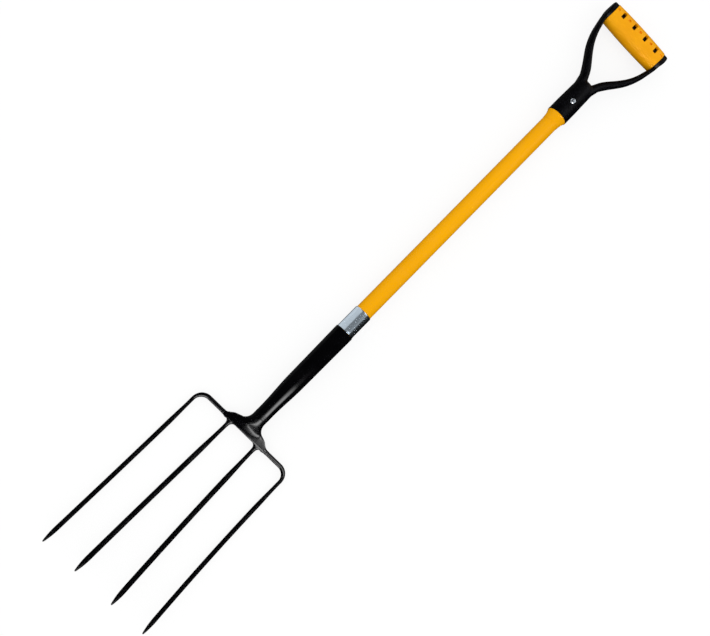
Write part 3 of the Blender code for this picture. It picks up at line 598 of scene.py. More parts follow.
DRAWN_TINE = make_drawn_tine()
TINE_PAINT = black_paint("gloss_black_on_drawn_bar", 0.0013, 0.45, 0.17, 0.07)
for seed, (word, side) in enumerate(SIDES.items()):
    outer_x, inner_x = side * OUTER_ROOT_X, side * INNER_ROOT_X
    bars = {
        "outer": (
            [(side * (PLATE_HALF_WIDTH - SUNK_IN_HEAD), 0, 0), (outer_x, 0, 0),
             (outer_x, -TINE_REACH, 0)],
            dict(Drift_Start=BEND_RADIUS, Drift=side * OUTER_TIP_X - outer_x, Spread=1.45,
                 Leg_Radius=LEG_RADIUS, Neck_Radius=OUTER_NECK_RADIUS,
                 Body_Radius=OUTER_BODY_RADIUS),
        ),
        "inner": (
            [(inner_x, SUNK_IN_HEAD - FRONT_EDGE, 0), (inner_x, -TINE_REACH, 0)],
            dict(Drift_Start=SQUARE_RUN, Drift=side * INNER_TIP_X - inner_x, Spread=1.15,
                 Leg_Radius=INNER_BAR_RADIUS, Neck_Radius=INNER_BAR_RADIUS,
                 Body_Radius=INNER_BODY_RADIUS),
        ),
    }
    for row, (corners, sizes) in bars.items():
        tine = shown(f"tine_{row}_{word}_bar", bent_path(f"{row}_path", corners))
        grown(
            tine, DRAWN_TINE, **sizes, Bend_Radius=BEND_RADIUS, Reach=TINE_REACH,
            Square_Run=SQUARE_RUN, Root_Height=PLATE_MIDDLE_Z,
            Belly_Height=INNER_BODY_RADIUS + FLOOR_CLEARANCE, Belly_Reach=BELLY_REACH,
            Swell_Start=0.024, Swell_End=0.076, Tip_Taper=0.028, Tip_Radius=0.0010,
            Tip_Fullness=0.8, Hammer_Depth=0.00010, Bar=(0, BAR_Y, 0), Seed=7.0 * seed + len(row),
            Paint=TINE_PAINT,
        )
        finished(tine, TINE_PAINT, f"tine_{row}_{word}")


# Welds
# A low bead closes the joint between each bar and its root boss, all the way round. It was dressed
# before painting, so only the fine ripples of its overlapping pools are left.

BEAD_HALF_WIDTH, BEAD_CROWN = 0.0020, 0.0005
BEAD_SUNK = 0.0003              # how far the bead reaches under the bar's skin


def make_weld_ripples():
    """Overlapping pools round a bead, on its outer face only."""
    tree, inner, out = new_tree(
        "weld_ripples", "GeometryNodeTree",
        {"Geometry": "Geometry", "Centre": "Vector", "Across": "Vector", "Up": "Vector",
         "Ripples": "Float", "Ripple Depth": "Float", "Bar Radius": "Float", "Paint": "Material"},
        {"Geometry": "Geometry"},
    )
    position = node(tree, "GeometryNodeInputPosition")
    from_centre = node(
        tree, "ShaderNodeVectorMath", {0: position, 1: inner["Centre"]}, operation="SUBTRACT"
    )
    across, up = (
        node(tree, "ShaderNodeVectorMath", {0: from_centre, 1: inner[label]},
             operation="DOT_PRODUCT")["Value"]
        for label in ("Across", "Up")
    )
    wobble = node(tree, "ShaderNodeTexNoise", {"Vector": position, "Scale": 420.0})
    wave = reckoned("ARCTAN2", up, across) * inner["Ripples"] + wobble * 3.0
    pools = reckoned("ABSOLUTE", reckoned("SINE", wave))
    distance = reckoned("SQRT", across * across + up * up)
    outer_face = reckoned("GREATER_THAN", distance, inner["Bar Radius"])
    lift = (pools - 1.0) * (inner["Ripple Depth"] * outer_face)
    put_out(out, pushed(inner["Geometry"], lift), inner["Paint"])
    return tree


def turned_piece(name, *shape, **how):
    return shown(name, turned(name, *shape, **how))


def bead_profile(bar_radius, middle, rows=12):
    """A low crown over the joint, closed inside the bar."""
    turns = [math.pi * row / rows for row in range(rows + 1)]
    return [
        (bar_radius - BEAD_SUNK + BEAD_CROWN * math.sin(turn),
         middle + BEAD_HALF_WIDTH * math.cos(turn))
        for turn in turns
    ]


WELD_RIPPLES = make_weld_ripples()
WELD_PAINT = black_paint("gloss_black_on_weld", 0.0012, 0.6, 0.20, 0.08)
for (row, word), (spot, along, bar_radius, boss) in ROOTS.items():
    profile = bead_profile(bar_radius, boss[1])
    bead = turned_piece(f"weld_{row}_{word}_bead", profile, spot, along, ring=True)
    grown(
        bead, WELD_RIPPLES, Centre=spot, Across=(abs(along[1]), abs(along[0]), 0), Up=(0, 0, 1),
        Ripples=11.0, Ripple_Depth=0.00008, Bar_Radius=bar_radius, Paint=WELD_PAINT,
    )
    finished(bead, WELD_PAINT, f"weld_{row}_{word}")


# Socket tube
# A steel tube swaged down to the neck and welded to it, with the weld dressed flush. Its mouth
# has a rounded lip. The shaft is pinned through it, and the pin is dressed and painted over.

SOCKET_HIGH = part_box("socket_tube")[1]
SOCKET_MOUTH_RADIUS = SOCKET_HIGH.x
SOCKET_FOOT, SOCKET_END = NECK_END + 0.0001, SOCKET_HIGH.y - BAR_Y
SOCKET_SWELL = (0.048, 0.112)
SOCKET_TAPER = 0.00115
SOCKET_WALL = 0.0020
SOCKET_LIP = 0.0007
BAR_SPOT = (0, BAR_Y, AXIS_Z)
NECK_WELD_HALF, NECK_WELD_DEPTH, NECK_WELD_CROWN = 0.0024, 0.002, 0.00012


def eased(corners, steps=6):
    """A profile with its corners rounded. Each is (radius, height, rounding)."""
    points = []
    for index, (radius, height, rounding) in enumerate(corners):
        here = Vector((radius, height))
        if rounding == 0:
            points.append(tuple(here))
            continue
        before = Vector(corners[index - 1][:2])
        after = Vector(corners[(index + 1) % len(corners)][:2])
        start = here + (before - here).normalized() * rounding
        end = here + (after - here).normalized() * rounding
        for step in range(steps + 1):
            t = step / steps
            points.append(tuple((1 - t) ** 2 * start + 2 * t * (1 - t) * here + t * t * end))
    return points


def socket_radius(y):
    shoulder = SOCKET_MOUTH_RADIUS - SOCKET_TAPER
    radius = NECK_RADIUS + (shoulder - NECK_RADIUS) * ease(y, *SOCKET_SWELL)
    past = max(0.0, y - SOCKET_SWELL[1]) / (SOCKET_END - SOCKET_SWELL[1])
    return radius + (SOCKET_MOUTH_RADIUS - shoulder) * past


def rows_between(start, end, count):
    return [start + (end - start) * row / count for row in range(count + 1)]


lip_start = SOCKET_END - SOCKET_LIP
outside = [(socket_radius(y), y) for y in rows_between(SOCKET_FOOT, lip_start, 90)]
mouth = eased([
    (SOCKET_MOUTH_RADIUS, SOCKET_END, SOCKET_LIP),
    (SOCKET_MOUTH_RADIUS - SOCKET_WALL, SOCKET_END, SOCKET_LIP / 2),
])
inside = [(socket_radius(y) - SOCKET_WALL, y) for y in rows_between(lip_start, SOCKET_FOOT, 20)]
socket = turned_piece("socket_shell", [*outside, *mouth[1:], *inside[1:]], BAR_SPOT, ring=True)
SOCKET_PAINT = black_paint("gloss_black_on_tube", 0.0019, 0.5, 0.12, 0.05, depth=0.00004)
finished(socket, SOCKET_PAINT, "socket_tube")
coated(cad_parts["socket_pin"], SOCKET_PAINT)

weld_low, weld_high = NECK_END - NECK_WELD_HALF, NECK_END + NECK_WELD_HALF
neck_weld = turned_piece("neck_weld_band", [
    (NECK_RADIUS - NECK_WELD_DEPTH, weld_low), (NECK_RADIUS, weld_low),
    *[(NECK_RADIUS + NECK_WELD_CROWN * math.sin(math.pi * share),
       weld_low + 2 * NECK_WELD_HALF * share) for share in rows_between(0.1, 0.9, 8)],
    (NECK_RADIUS, weld_high), (NECK_RADIUS - NECK_WELD_DEPTH, weld_high),
], BAR_SPOT, ring=True)
finished(neck_weld, WELD_PAINT, "neck_weld")


# Ferrule
# A drawn steel collar, nickel bright, rolled in at both ends. It is pressed over the shaft against
# the socket's mouth. Polishing left fine rings round it, and handling left a few scratches.

FERRULE_LOW, FERRULE_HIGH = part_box("ferrule")
FERRULE_RADIUS = FERRULE_HIGH.x
FERRULE_BORE = SHAFT_HIGH.x + 0.0001
FERRULE_WAIST = FERRULE_RADIUS - 0.00025    # past the bead at the socket's end
ON_AXIS = (0, 0, AXIS_Z)


def make_fine_scratches():
    """Hair scratches that run along one way: few, of unequal depth, and broken into lengths."""
    tree, inner, out = new_tree(
        "fine_scratches", "ShaderNodeTree",
        {"Place": "Vector", "Stretch": "Vector", "Scale": "Float", "Amount": "Float"},
        {"Lines": "Float", "Mask": "Float"},
    )
    lines = noise(inner["Place"], inner["Scale"], 3.0, 0.7, inner["Stretch"])
    breaks = remapped(noise(inner["Place"], 160.0), 0.45, 0.62)
    linked(out, Lines=lines, Mask=remapped(lines, 0.60, 0.74) * breaks * inner["Amount"])
    return tree


FINE_SCRATCHES = make_fine_scratches()


def bright_metal(name, stretch, scale, color, roughness):
    """Plated steel with rings or scratches, and a haze that dulls it in patches."""
    made, shader, place = material(name, Metallic=1.0)
    scratches = grouped(FINE_SCRATCHES, Place=place, Stretch=stretch, Scale=scale, Amount=0.7)
    lines, mask = scratches["Lines"], scratches["Mask"]
    haze = remapped(noise(place, 70.0, 5.0, 0.6), 0.35, 0.7)
    dull = (0.55 * color[0], 0.56 * color[1], 0.58 * color[2], 1)
    toned = blended(haze * 0.35, (*color, 1), dull)
    linked(
        shader, Base_Color=blended(mask, toned, (0.80, 0.82, 0.84, 1)),
        Roughness=lines * 0.12 + (roughness - 0.06) + haze * 0.10,
    )
    bumped(shader, mask * -0.3 + lines, 0.0000025, 0.6)
    return made


BRIGHT_RINGS = bright_metal("bright_steel_ringed", (0.02, 1.0, 0.02), 2600.0, (0.58, 0.68, 0.77), 0.17)
ferrule = turned_piece("ferrule_band", eased([
    (FERRULE_RADIUS - 0.0003, FERRULE_LOW.y, 0.0002),
    (FERRULE_RADIUS, FERRULE_LOW.y + 0.0004, 0.0003),
    (FERRULE_RADIUS, FERRULE_LOW.y + 0.0020, 0.0005),
    (FERRULE_WAIST, FERRULE_LOW.y + 0.0027, 0.0005),
    (FERRULE_WAIST, FERRULE_HIGH.y - 0.0012, 0.0008),
    (FERRULE_BORE + 0.0002, FERRULE_HIGH.y, 0.0002),
    (FERRULE_BORE, FERRULE_HIGH.y, 0), (FERRULE_BORE, FERRULE_LOW.y, 0),
]), ON_AXIS, ring=True)
finished(ferrule, BRIGHT_RINGS, "ferrule")


# Shaft and its collar
# A tube of pultruded fibreglass with a yellow gel coat. The fibres show as faint lines along it.
# Hardwood plugs fill it where it is pinned and riveted, and a flared collar closes the handle's
# mouth round it.

SHAFT_RADIUS = SHAFT_HIGH.x
SHAFT_BORE = 0.0104
SHAFT_START = SOCKET_HIGH.y - 0.002
PRESSED_IN = 0.0001             # how much the ferrule presses the shaft in
COLLAR_LOW, COLLAR_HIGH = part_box("shaft_collar")
COLLAR_LIP = 0.0004


def yellow_finish(name, deep, pale, roughness, stretch, streak_scale, streak_bump):
    """Yellow with a drift between a deeper and a paler tone, streaks, dust specks and rubs."""
    made, shader, place = material(name, Specular_IOR_Level=0.12)
    streaks = grouped(FINE_SCRATCHES, Place=place, Stretch=stretch, Scale=streak_scale, Amount=0.25)
    lines, mask = streaks["Lines"], streaks["Mask"]
    drift = remapped(noise(place, 16.0, 3.0, stretch=(1, 0.35, 1)), 0.3, 0.72)
    toned = blended(drift, (*deep, 1), (*pale, 1))
    fibre = remapped(lines, 0.35, 0.68) * 0.22
    toned = blended(fibre, toned, (*[0.80 * part for part in deep], 1))
    speck = remapped(noise(place, 3400.0, 1.0), 0.70, 0.78)
    rubbed = remapped(noise(place, 30.0, 5.0, 0.65), 0.48, 0.7)
    linked(
        shader, Base_Color=blended(speck * 0.35, toned, (0.30, 0.17, 0.04, 1)),
        Roughness=rubbed * 0.14 + roughness + mask * 0.3,
    )
    bumped(shader, lines - mask, streak_bump)
    return made


GEL_COAT = yellow_finish(
    "yellow_gel_coat", (0.95, 0.415, 0.001), (0.985, 0.445, 0.0015), 0.17, (1.0, 0.012, 1.0), 900.0,
    0.00002,
)
shaft = turned_piece("shaft_tube", [
    *[(SHAFT_RADIUS - PRESSED_IN * (y < FERRULE_HIGH.y), y)
      for y in rows_between(SHAFT_START, SHAFT_HIGH.y, 220)],
    (SHAFT_BORE, SHAFT_HIGH.y), (SHAFT_BORE, SHAFT_START),
], ON_AXIS, ring=True)
finished(shaft, GEL_COAT, "shaft")

collar_length = COLLAR_HIGH.y - COLLAR_LOW.y
collar_flare = COLLAR_HIGH.x - SHAFT_RADIUS - COLLAR_LIP
collar_arc = (collar_length ** 2 + collar_flare ** 2) / (2 * collar_flare)
collar_side = [
    (SHAFT_RADIUS + COLLAR_LIP + collar_arc - math.sqrt(collar_arc ** 2 - along ** 2), along)
    for along in rows_between(COLLAR_LIP, collar_length, 40)
]
collar = turned_piece("shaft_collar_ring", [
    (SHAFT_RADIUS + 0.0001, 0.0), (SHAFT_RADIUS + 0.6 * COLLAR_LIP, 0.0), *collar_side,
    (SHAFT_RADIUS + 0.0001, collar_length),
], (0, COLLAR_LOW.y, AXIS_Z), ring=True)
finished(collar, GEL_COAT, "shaft_collar")


def hardwood():
    made, shader, place = material("turned_hardwood")
    along_grain = node(place, "ShaderNodeMapping", {"Vector": place, "Scale": (1, 0.06, 1)})
    rings = node(
        place, "ShaderNodeTexWave",
        {"Vector": along_grain, "Scale": 170.0, "Distortion": 6.0, "Detail": 3.0},
    )["Fac"]
    pores = remapped(noise(place, 1500.0, stretch=(1, 0.05, 1)), 0.58, 0.72)
    grain = blended(rings, (0.50, 0.31, 0.15, 1), (0.62, 0.43, 0.24, 1))
    linked(
        shader, Base_Color=blended(pores, grain, (0.24, 0.13, 0.06, 1)),
        Roughness=remapped(rings, 0, 1, 0.55, 0.72),
    )
    bumped(shader, rings - pores, 0.00008)
    return made


HARDWOOD = hardwood()
for plug in ("core_plug_lower", "core_plug_upper"):
    coated(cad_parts[plug], HARDWOOD)


# D-handle yoke
# One injection moulding in black nylon: a socket for the shaft, two arms that open like a lyre,
# an ear at each end of the grip and the bar between them. Its skin has a fine spark texture and
# a parting line round the middle.

YOKE_LOW, YOKE_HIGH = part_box("d_handle_yoke")
GRIP_LOW, GRIP_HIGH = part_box("grip_sleeve")
GRIP_Y = (GRIP_LOW.y + GRIP_HIGH.y) / 2
GRIP_CENTRE = (0, GRIP_Y, AXIS_Z)
GRIP_ROOM = 0.0206
MOUTH_Y = YOKE_LOW.y
CROTCH_Y = MOUTH_Y + 0.0766
MOUTH_RADIUS = 0.0187
TOP_RADIUS = 0.0179
STRAIGHT = 0.024                # the handle's socket keeps its full size this far from its mouth
CROWN_HEIGHT, CROWN_SQUARENESS = 0.017, 3.0
CROTCH_DIP = 0.0005             # softening the moulding fills the crotch by this much
EAR_INSIDE = GRIP_HIGH.x + 0.0003
EAR_OUTSIDE = YOKE_HIGH.x
EAR_SUNK = 0.002                # how far an ear and the bar run into each other
EAR_RADIUS = 0.0182
EAR_ROUNDING = 0.0026
EAR_LEAN = 0.34                 # how much thinner an ear is on the arm's side
BAR_RADIUS = 0.0155
ARM_SQUARENESS = 2.8
MOULDED_VOXEL, MOULDED_SOFTENING = 0.00085, 20
SMOOTHING_LOSS = 0.0002         # what softening the moulding takes off a thin arm

# One arm, from inside the socket up to inside its ear: the height as a share of the way from the
# crotch to the grip, the inner edge as a share of the ear's inner face, the outer edge as a share
# of the way from the socket's side to the ear's outer face, and half the depth as a share of the
# ear's radius.
ARM_SHAPE = [
    (-0.215, 0.018, -0.046, 0.76),
    (-0.107, 0.040, -0.011, 0.77),
    (-0.027, 0.070, 0.031, 0.73),
    (0.045, 0.130, 0.078, 0.67),
    (0.170, 0.261, 0.265, 0.59),
    (0.354, 0.551, 0.572, 0.56),
    (0.492, 0.739, 0.742, 0.58),
    (0.632, 0.868, 0.858, 0.62),
    (0.770, 0.949, 0.926, 0.66),
    (0.893, 1.010, 0.976, 0.71),
    (1.018, 1.030, 0.985, 0.73),
]


def squared(turn, squareness):
    """A point of a circle of radius 1 that is squared off, as its cosine and its sine."""
    parts = (math.cos(turn), math.sin(turn))
    return [math.copysign(abs(part) ** (2 / squareness), part) for part in parts]


def arm_rings(side, rings=90, sides=48):
    made = []
    for ring in range(rings + 1):
        height, inward, outward, depth = between(ARM_SHAPE, ring / rings)
        inner_x = inward * EAR_INSIDE
        outer_x = TOP_RADIUS + outward * (EAR_OUTSIDE - TOP_RADIUS)
        y = CROTCH_Y + height * (GRIP_Y - CROTCH_Y)
        middle, half = (inner_x + outer_x) / 2, (outer_x - inner_x) / 2 + SMOOTHING_LOSS
        rim = [squared(2 * math.pi * step / sides, ARM_SQUARENESS) for step in range(sides)]
        made.append([
            (side * (middle + half * across), y, AXIS_Z + depth * EAR_RADIUS * up)
            for across, up in rim
        ])
    return made


def crown(steps=16):
    """The dome that closes the socket in the crotch, from its middle out to its side."""
    top = CROTCH_Y - CROTCH_DIP
    rim = [squared(math.pi / 2 * step / steps, CROWN_SQUARENESS) for step in range(steps + 1)]
    return [(TOP_RADIUS * across, top - CROWN_HEIGHT * (1 - up)) for up, across in rim]


def cut(piece, cutter, operation="DIFFERENCE"):
    """Cuts one closed piece by another, or joins them, and removes the other."""
    modifier = piece.modifiers.new("cut", "BOOLEAN")
    modifier.operation = operation
    modifier.solver = "MANIFOLD"
    modifier.object = cutter
    settled(piece)
    bpy.data.objects.remove(cutter)


def rod(name, radius, bottom, top, spot, along, steps=96):
    profile = [(0, bottom), (radius, bottom), (radius, top), (0, top)]
    return turned_piece(name, profile, spot, along, steps)


def ear(side):
    """A thick disc that leans in towards its arm, so that the arm's outer side runs on over it."""
    sunk, outside = side * (EAR_INSIDE - EAR_SUNK), side * EAR_OUTSIDE
    corners = [(0, sunk, 0), (EAR_RADIUS, sunk, 0), (EAR_RADIUS, outside, EAR_ROUNDING), (0, outside, 0)]
    disc = turned("ear", eased(corners, 8), GRIP_CENTRE, (1, 0, 0))
    for vertex in disc.vertices:
        thickness = side * vertex.co.x - EAR_INSIDE
        if thickness > 0:
            lean = 1 - EAR_LEAN * ease(GRIP_Y - vertex.co.y, -0.004, EAR_RADIUS)
            vertex.co.x = side * (EAR_INSIDE + thickness * lean)
    return disc


past_mouth = MOUTH_Y - 0.003
handle_socket = [
    *crown(), (MOUTH_RADIUS, MOUTH_Y + STRAIGHT), (MOUTH_RADIUS, past_mouth), (0, past_mouth)
]
yoke = joined("d_handle_moulding", [
    turned("handle_socket", handle_socket, ON_AXIS),
    *[lofted("arm", arm_rings(side)) for side in SIDES.values()],
    *[ear(side) for side in SIDES.values()],
])
fused(yoke, MOULDED_VOXEL, MOULDED_SOFTENING)
cut_off(yoke, (0, MOUTH_Y, 0), (0, -1, 0))
cut(yoke, rod("grip_room", GRIP_ROOM, -EAR_INSIDE, EAR_INSIDE, GRIP_CENTRE, (1, 0, 0), 128))
bar_end = EAR_INSIDE + EAR_SUNK
cut(yoke, rod("core_bar", BAR_RADIUS, -bar_end, bar_end, GRIP_CENTRE, (1, 0, 0)), "UNION")
cut(yoke, rod(
    "bore", SHAFT_RADIUS + 0.0002, MOUTH_Y - 0.02, SHAFT_HIGH.y + 0.0003, ON_AXIS, (0, 1, 0), 128
))

WASHER_LOW, WASHER_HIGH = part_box("rivet_washer")
RIVET_SPOT = (0, (WASHER_LOW.y + WASHER_HIGH.y) / 2, AXIS_Z)
SEAT_HEIGHT = MOUTH_RADIUS - 0.0010
POCKET_HEIGHT = MOUTH_RADIUS - 0.0032
CLEAR_HEIGHT = 0.03
SPOT_FACE_RADIUS, POCKET_RADIUS = 0.0052, 0.0055
cut(yoke, rod("spot_face", SPOT_FACE_RADIUS, SEAT_HEIGHT, CLEAR_HEIGHT, RIVET_SPOT, (0, 0, 1), 64))
cut(yoke, rod("tail_pocket", POCKET_RADIUS, POCKET_HEIGHT, CLEAR_HEIGHT, RIVET_SPOT, (0, 0, -1), 64))


def make_spark_texture():
    """The skin that a spark-eroded mould leaves: close, shallow pits of one size."""
    tree, inner, out = new_tree(
        "spark_texture", "ShaderNodeTree", {"Place": "Vector", "Grain": "Float"},
        {"Height": "Float", "Patches": "Float"},
    )
    place, cells = inner["Place"], 1.0 / inner["Grain"]
    pits = node(
        tree, "ShaderNodeTexVoronoi", {"Vector": place, "Scale": cells}, feature="SMOOTH_F1"
    )["Distance"]
    patches = remapped(noise(place, 45.0, 4.0, 0.6), 0.38, 0.68)
    linked(out, Height=pits + noise(place, cells * 1.7), Patches=patches)
    return tree


def black_nylon():
    made, shader, place = material("black_moulded_nylon", Specular_IOR_Level=0.1)
    skin = grouped(make_spark_texture(), Place=place, Grain=0.00045)
    patches = skin["Patches"]
    from_line = node(place, "ShaderNodeSeparateXYZ", {0: place})["Z"] - AXIS_Z
    parting_line = remapped(reckoned("ABSOLUTE", from_line), 0.00008, 0.00035, 1.0, 0.0)
    linked(
        shader, Base_Color=blended(patches, (0.0008, 0.0008, 0.0014, 1), (0.002, 0.002, 0.003, 1)),
        Roughness=remapped(patches, 0, 1, 0.36, 0.50),
    )
    bumped(shader, parting_line * 5.0 + skin["Height"], 0.00003)
    return made


finished(yoke, black_nylon(), "d_handle_yoke", 40)


# Rivet and washer
# A bright steel rivet through handle, shaft and plug, with a low domed head in front. Its tail is
# set over a washer in a pocket at the back.

HEAD_RADIUS, SHANK_RADIUS = 0.0045, 0.0024
HEAD_RIM, HEAD_DOME = 0.0003, 0.0014
# The set tail, from the washer round to its dished middle: radius, and height off the washer.
TAIL_SHAPE = [(0.0036, 0), (0.0036, 0.0004), (0.0031, 0.0009), (0.0012, 0.0007), (0, 0.0006)]
WASHER_RADIUS, WASHER_HOLE, WASHER_THICKNESS = 0.0052, 0.0026, 0.0010
RIVET_STEEL = bright_metal("bright_steel_rivet", (1.0, 0.15, 1.0), 1500.0, (0.46, 0.50, 0.54), 0.30)
head_seat = SEAT_HEIGHT + 0.0002
dome = [
    (HEAD_RADIUS * math.cos(turn), head_seat + HEAD_RIM + HEAD_DOME * math.sin(turn))
    for turn in (math.pi / 2 * step / 14 for step in range(14))
]
washer_low = POCKET_HEIGHT + 0.0002
washer_high = washer_low + WASHER_THICKNESS
rivet = turned_piece("handle_rivet_set", [
    (0, head_seat + HEAD_RIM + HEAD_DOME), *reversed(dome), (HEAD_RADIUS, head_seat),
    (SHANK_RADIUS, head_seat), (SHANK_RADIUS, -washer_high),
    *[(radius, -washer_high - height) for radius, height in TAIL_SHAPE],
], RIVET_SPOT, (0, 0, 1), 64)
finished(rivet, RIVET_STEEL, "handle_rivet")

washer = turned_piece("rivet_washer_flat", eased([
    (WASHER_RADIUS, washer_low, 0.0002), (WASHER_RADIUS, washer_high, 0.0002),
    (WASHER_HOLE, washer_high, 0.0001), (WASHER_HOLE, washer_low, 0.0001),
], 3), RIVET_SPOT, (0, 0, -1), 64, ring=True)
finished(washer, RIVET_STEEL, "rivet_washer")


# Grip sleeve
# A yellow sleeve moulded over the handle's bar between the ears, swelling a little to its middle.
# Four slots through it let the black bar show, with a shallow dimple beside each, front and back.

GRIP_HALF = GRIP_HIGH.x
GRIP_BORE = BAR_RADIUS + 0.0002
GRIP_END_RADIUS = 0.0191
GRIP_MIDDLE_RADIUS = (GRIP_HIGH.z - GRIP_LOW.z) / 2
GRIP_EDGE = 0.0007
SLOT_PITCH = (GRIP_HALF - 0.0041) / 2
DIMPLE_DEPTH = 0.0013           # below the sleeve's skin at its ends
DRILL_DEPTH = 0.02


def grip_radius(x):
    return GRIP_MIDDLE_RADIUS - (GRIP_MIDDLE_RADIUS - GRIP_END_RADIUS) * (x / GRIP_HALF) ** 2


def make_slots_and_dimples():
    """Cuts a row of rounded slots right through a sleeve, and a row of dimples on both faces."""
    sizes = ("Pitch", "Slot Width", "Slot Length", "Slot Rounding", "Cut Depth", "Dimple Radius",
             "Dimple Floor", "Turn")
    tree, inner, out = new_tree(
        "slots_and_dimples", "GeometryNodeTree",
        {"Geometry": "Geometry", "Slots": "Int", **dict.fromkeys(sizes, "Float"),
         "Centre": "Vector", "Plastic": "Material"},
        {"Geometry": "Geometry"},
    )

    def lifted(item, height):
        return node(
            tree, "GeometryNodeTransform", {"Geometry": item, "Translation": point(tree, Z=height)}
        )

    def row_of(count, item):
        start = (count - 1.0) * inner["Pitch"] * -0.5
        line = node(tree, "GeometryNodeMeshLine", {
            "Count": count, "Start Location": point(tree, X=start),
            "Offset": point(tree, X=inner["Pitch"]),
        })
        return node(tree, "GeometryNodeInstanceOnPoints", {"Points": line, "Instance": item})

    outline = node(
        tree, "GeometryNodeCurvePrimitiveQuadrilateral",
        {"Width": inner["Slot Width"], "Height": inner["Slot Length"]},
    )
    outline = node(
        tree, "GeometryNodeFilletCurve",
        {"Curve": outline, "Count": 6, "Radius": inner["Slot Rounding"]}, mode="POLY",
    )
    flat = node(tree, "GeometryNodeFillCurve", {"Curve": outline}, mode="NGONS")
    under = node(tree, "GeometryNodeFlipFaces", {"Mesh": flat})
    raised = node(
        tree, "GeometryNodeExtrudeMesh",
        {"Mesh": flat, "Offset Scale": inner["Cut Depth"], "Individual": False},
    )
    block = node(tree, "GeometryNodeJoinGeometry", {0: [raised, under]})
    block = node(tree, "GeometryNodeMergeByDistance", {"Geometry": block, "Distance": 1e-6})
    slots = row_of(inner["Slots"], lifted(block, inner["Cut Depth"] * -0.5))
    drill = node(tree, "GeometryNodeMeshCylinder", {
        "Vertices": 32, "Radius": inner["Dimple Radius"], "Depth": DRILL_DEPTH,
    })
    lift = inner["Dimple Floor"] + DRILL_DEPTH / 2
    dimples = [row_of(inner["Slots"] + 1.0, lifted(drill, lift * way)) for way in (1.0, -1.0)]
    cutters = node(tree, "GeometryNodeJoinGeometry", {0: [slots, *dimples]})
    cutters = node(tree, "GeometryNodeRealizeInstances", {0: cutters})
    cutters = node(tree, "GeometryNodeTransform", {
        "Geometry": cutters, "Translation": inner["Centre"],
        "Rotation": point(tree, X=inner["Turn"]),
    })
    sleeve = node(
        tree, "GeometryNodeMeshBoolean", {"Mesh 1": inner["Geometry"], "Mesh 2": cutters},
        operation="DIFFERENCE", solver="MANIFOLD",
    )
    put_out(out, sleeve, inner["Plastic"])
    return tree


GRIP_PLASTIC = yellow_finish(
    "yellow_moulded_grip", (0.93, 0.38, 0.001), (0.98, 0.43, 0.0015), 0.36, (1, 1, 1), 700.0, 0.00003
)
# How far the rounded edge lies inside the sleeve's skin and inside its end.
edge = [
    (GRIP_EDGE * (1 - math.sin(turn)), GRIP_EDGE * (1 - math.cos(turn)))
    for turn in (math.pi / 2 * step / 5 for step in range(1, 5))
]
sleeve = turned_piece("grip_sleeve_moulded", [
    (GRIP_BORE, -GRIP_HALF), (GRIP_END_RADIUS - GRIP_EDGE, -GRIP_HALF),
    *[(GRIP_END_RADIUS - sunk, inward - GRIP_HALF) for sunk, inward in edge],
    *[(grip_radius(x), x) for x in rows_between(GRIP_EDGE - GRIP_HALF, GRIP_HALF - GRIP_EDGE, 80)],
    *[(GRIP_END_RADIUS - sunk, GRIP_HALF - inward) for inward, sunk in edge],
    (GRIP_END_RADIUS - GRIP_EDGE, GRIP_HALF), (GRIP_BORE, GRIP_HALF),
], GRIP_CENTRE, (1, 0, 0), 144, ring=True)
grown(
    sleeve, make_slots_and_dimples(), Slots=4, Pitch=SLOT_PITCH, Slot_Width=0.0062,
    Slot_Length=0.0130, Slot_Rounding=0.0012, Cut_Depth=0.08, Dimple_Radius=0.0026,
    Dimple_Floor=GRIP_END_RADIUS - DIMPLE_DEPTH, Centre=GRIP_CENTRE, Turn=math.radians(-16),
    Plastic=GRIP_PLASTIC,
)
finished(sleeve, GRIP_PLASTIC, "grip_sleeve", 30)


# Floor
# A pale sheet under the fork, far wider than the picture. It glows for the camera's rays alone, so
# that it shows white and still keeps the fork's soft shadow.

FLOOR_REACH = 14.0


def pale_floor():
    made, shader, place = material(
        "pale_floor", Base_Color=(0.16, 0.16, 0.16, 1), Roughness=0.9, Specular_IOR_Level=0.0,
        Emission_Color=(1, 1, 1, 1),
    )
    rays = node(place, "ShaderNodeLightPath")
    seen = reckoned("MAXIMUM", rays["Is Camera Ray"], rays["Is Transmission Ray"])
    linked(shader, Emission_Strength=seen * 0.85)
    return made


def level_sheet(name, low, high, height, surface):
    """A level rectangle of the stage, given by two corners."""
    corners = [(low[0], low[1]), (high[0], low[1]), (high[0], high[1]), (low[0], high[1])]
    mesh = bpy.data.meshes.new(name)
    mesh.from_pydata([(x, y, height) for x, y in corners], [], [(0, 1, 2, 3)])
    mesh.materials.append(surface)
    sheet = shown(name, mesh)
    return sheet


level_sheet("floor", (-FLOOR_REACH, -FLOOR_REACH), (FLOOR_REACH, FLOOR_REACH), 0, pale_floor())


# Light
# An even dome lights everything at the level at which colours show as they are. Reflections see
# that dome dark, with a bright soft box close over the head's right side and another far past the
# tips, a dim one far past the handle, and a black card on the floor at the right.

STEEL = bpy.data.collections.new("bright_steel_pieces")
for piece in (ferrule, rivet, washer):
    STEEL.objects.link(piece)
FERRULE_ALONE = bpy.data.collections.new("ferrule_alone")
FERRULE_ALONE.objects.link(ferrule)
SHEET_LENGTH, SHEET_MIDDLE_Y = 2.8, 0.4
SOFT_BOX_RADIANCE = 17.0
HANDLE_BOX_RADIANCE = 2.2
DARK_DOME = 0.03
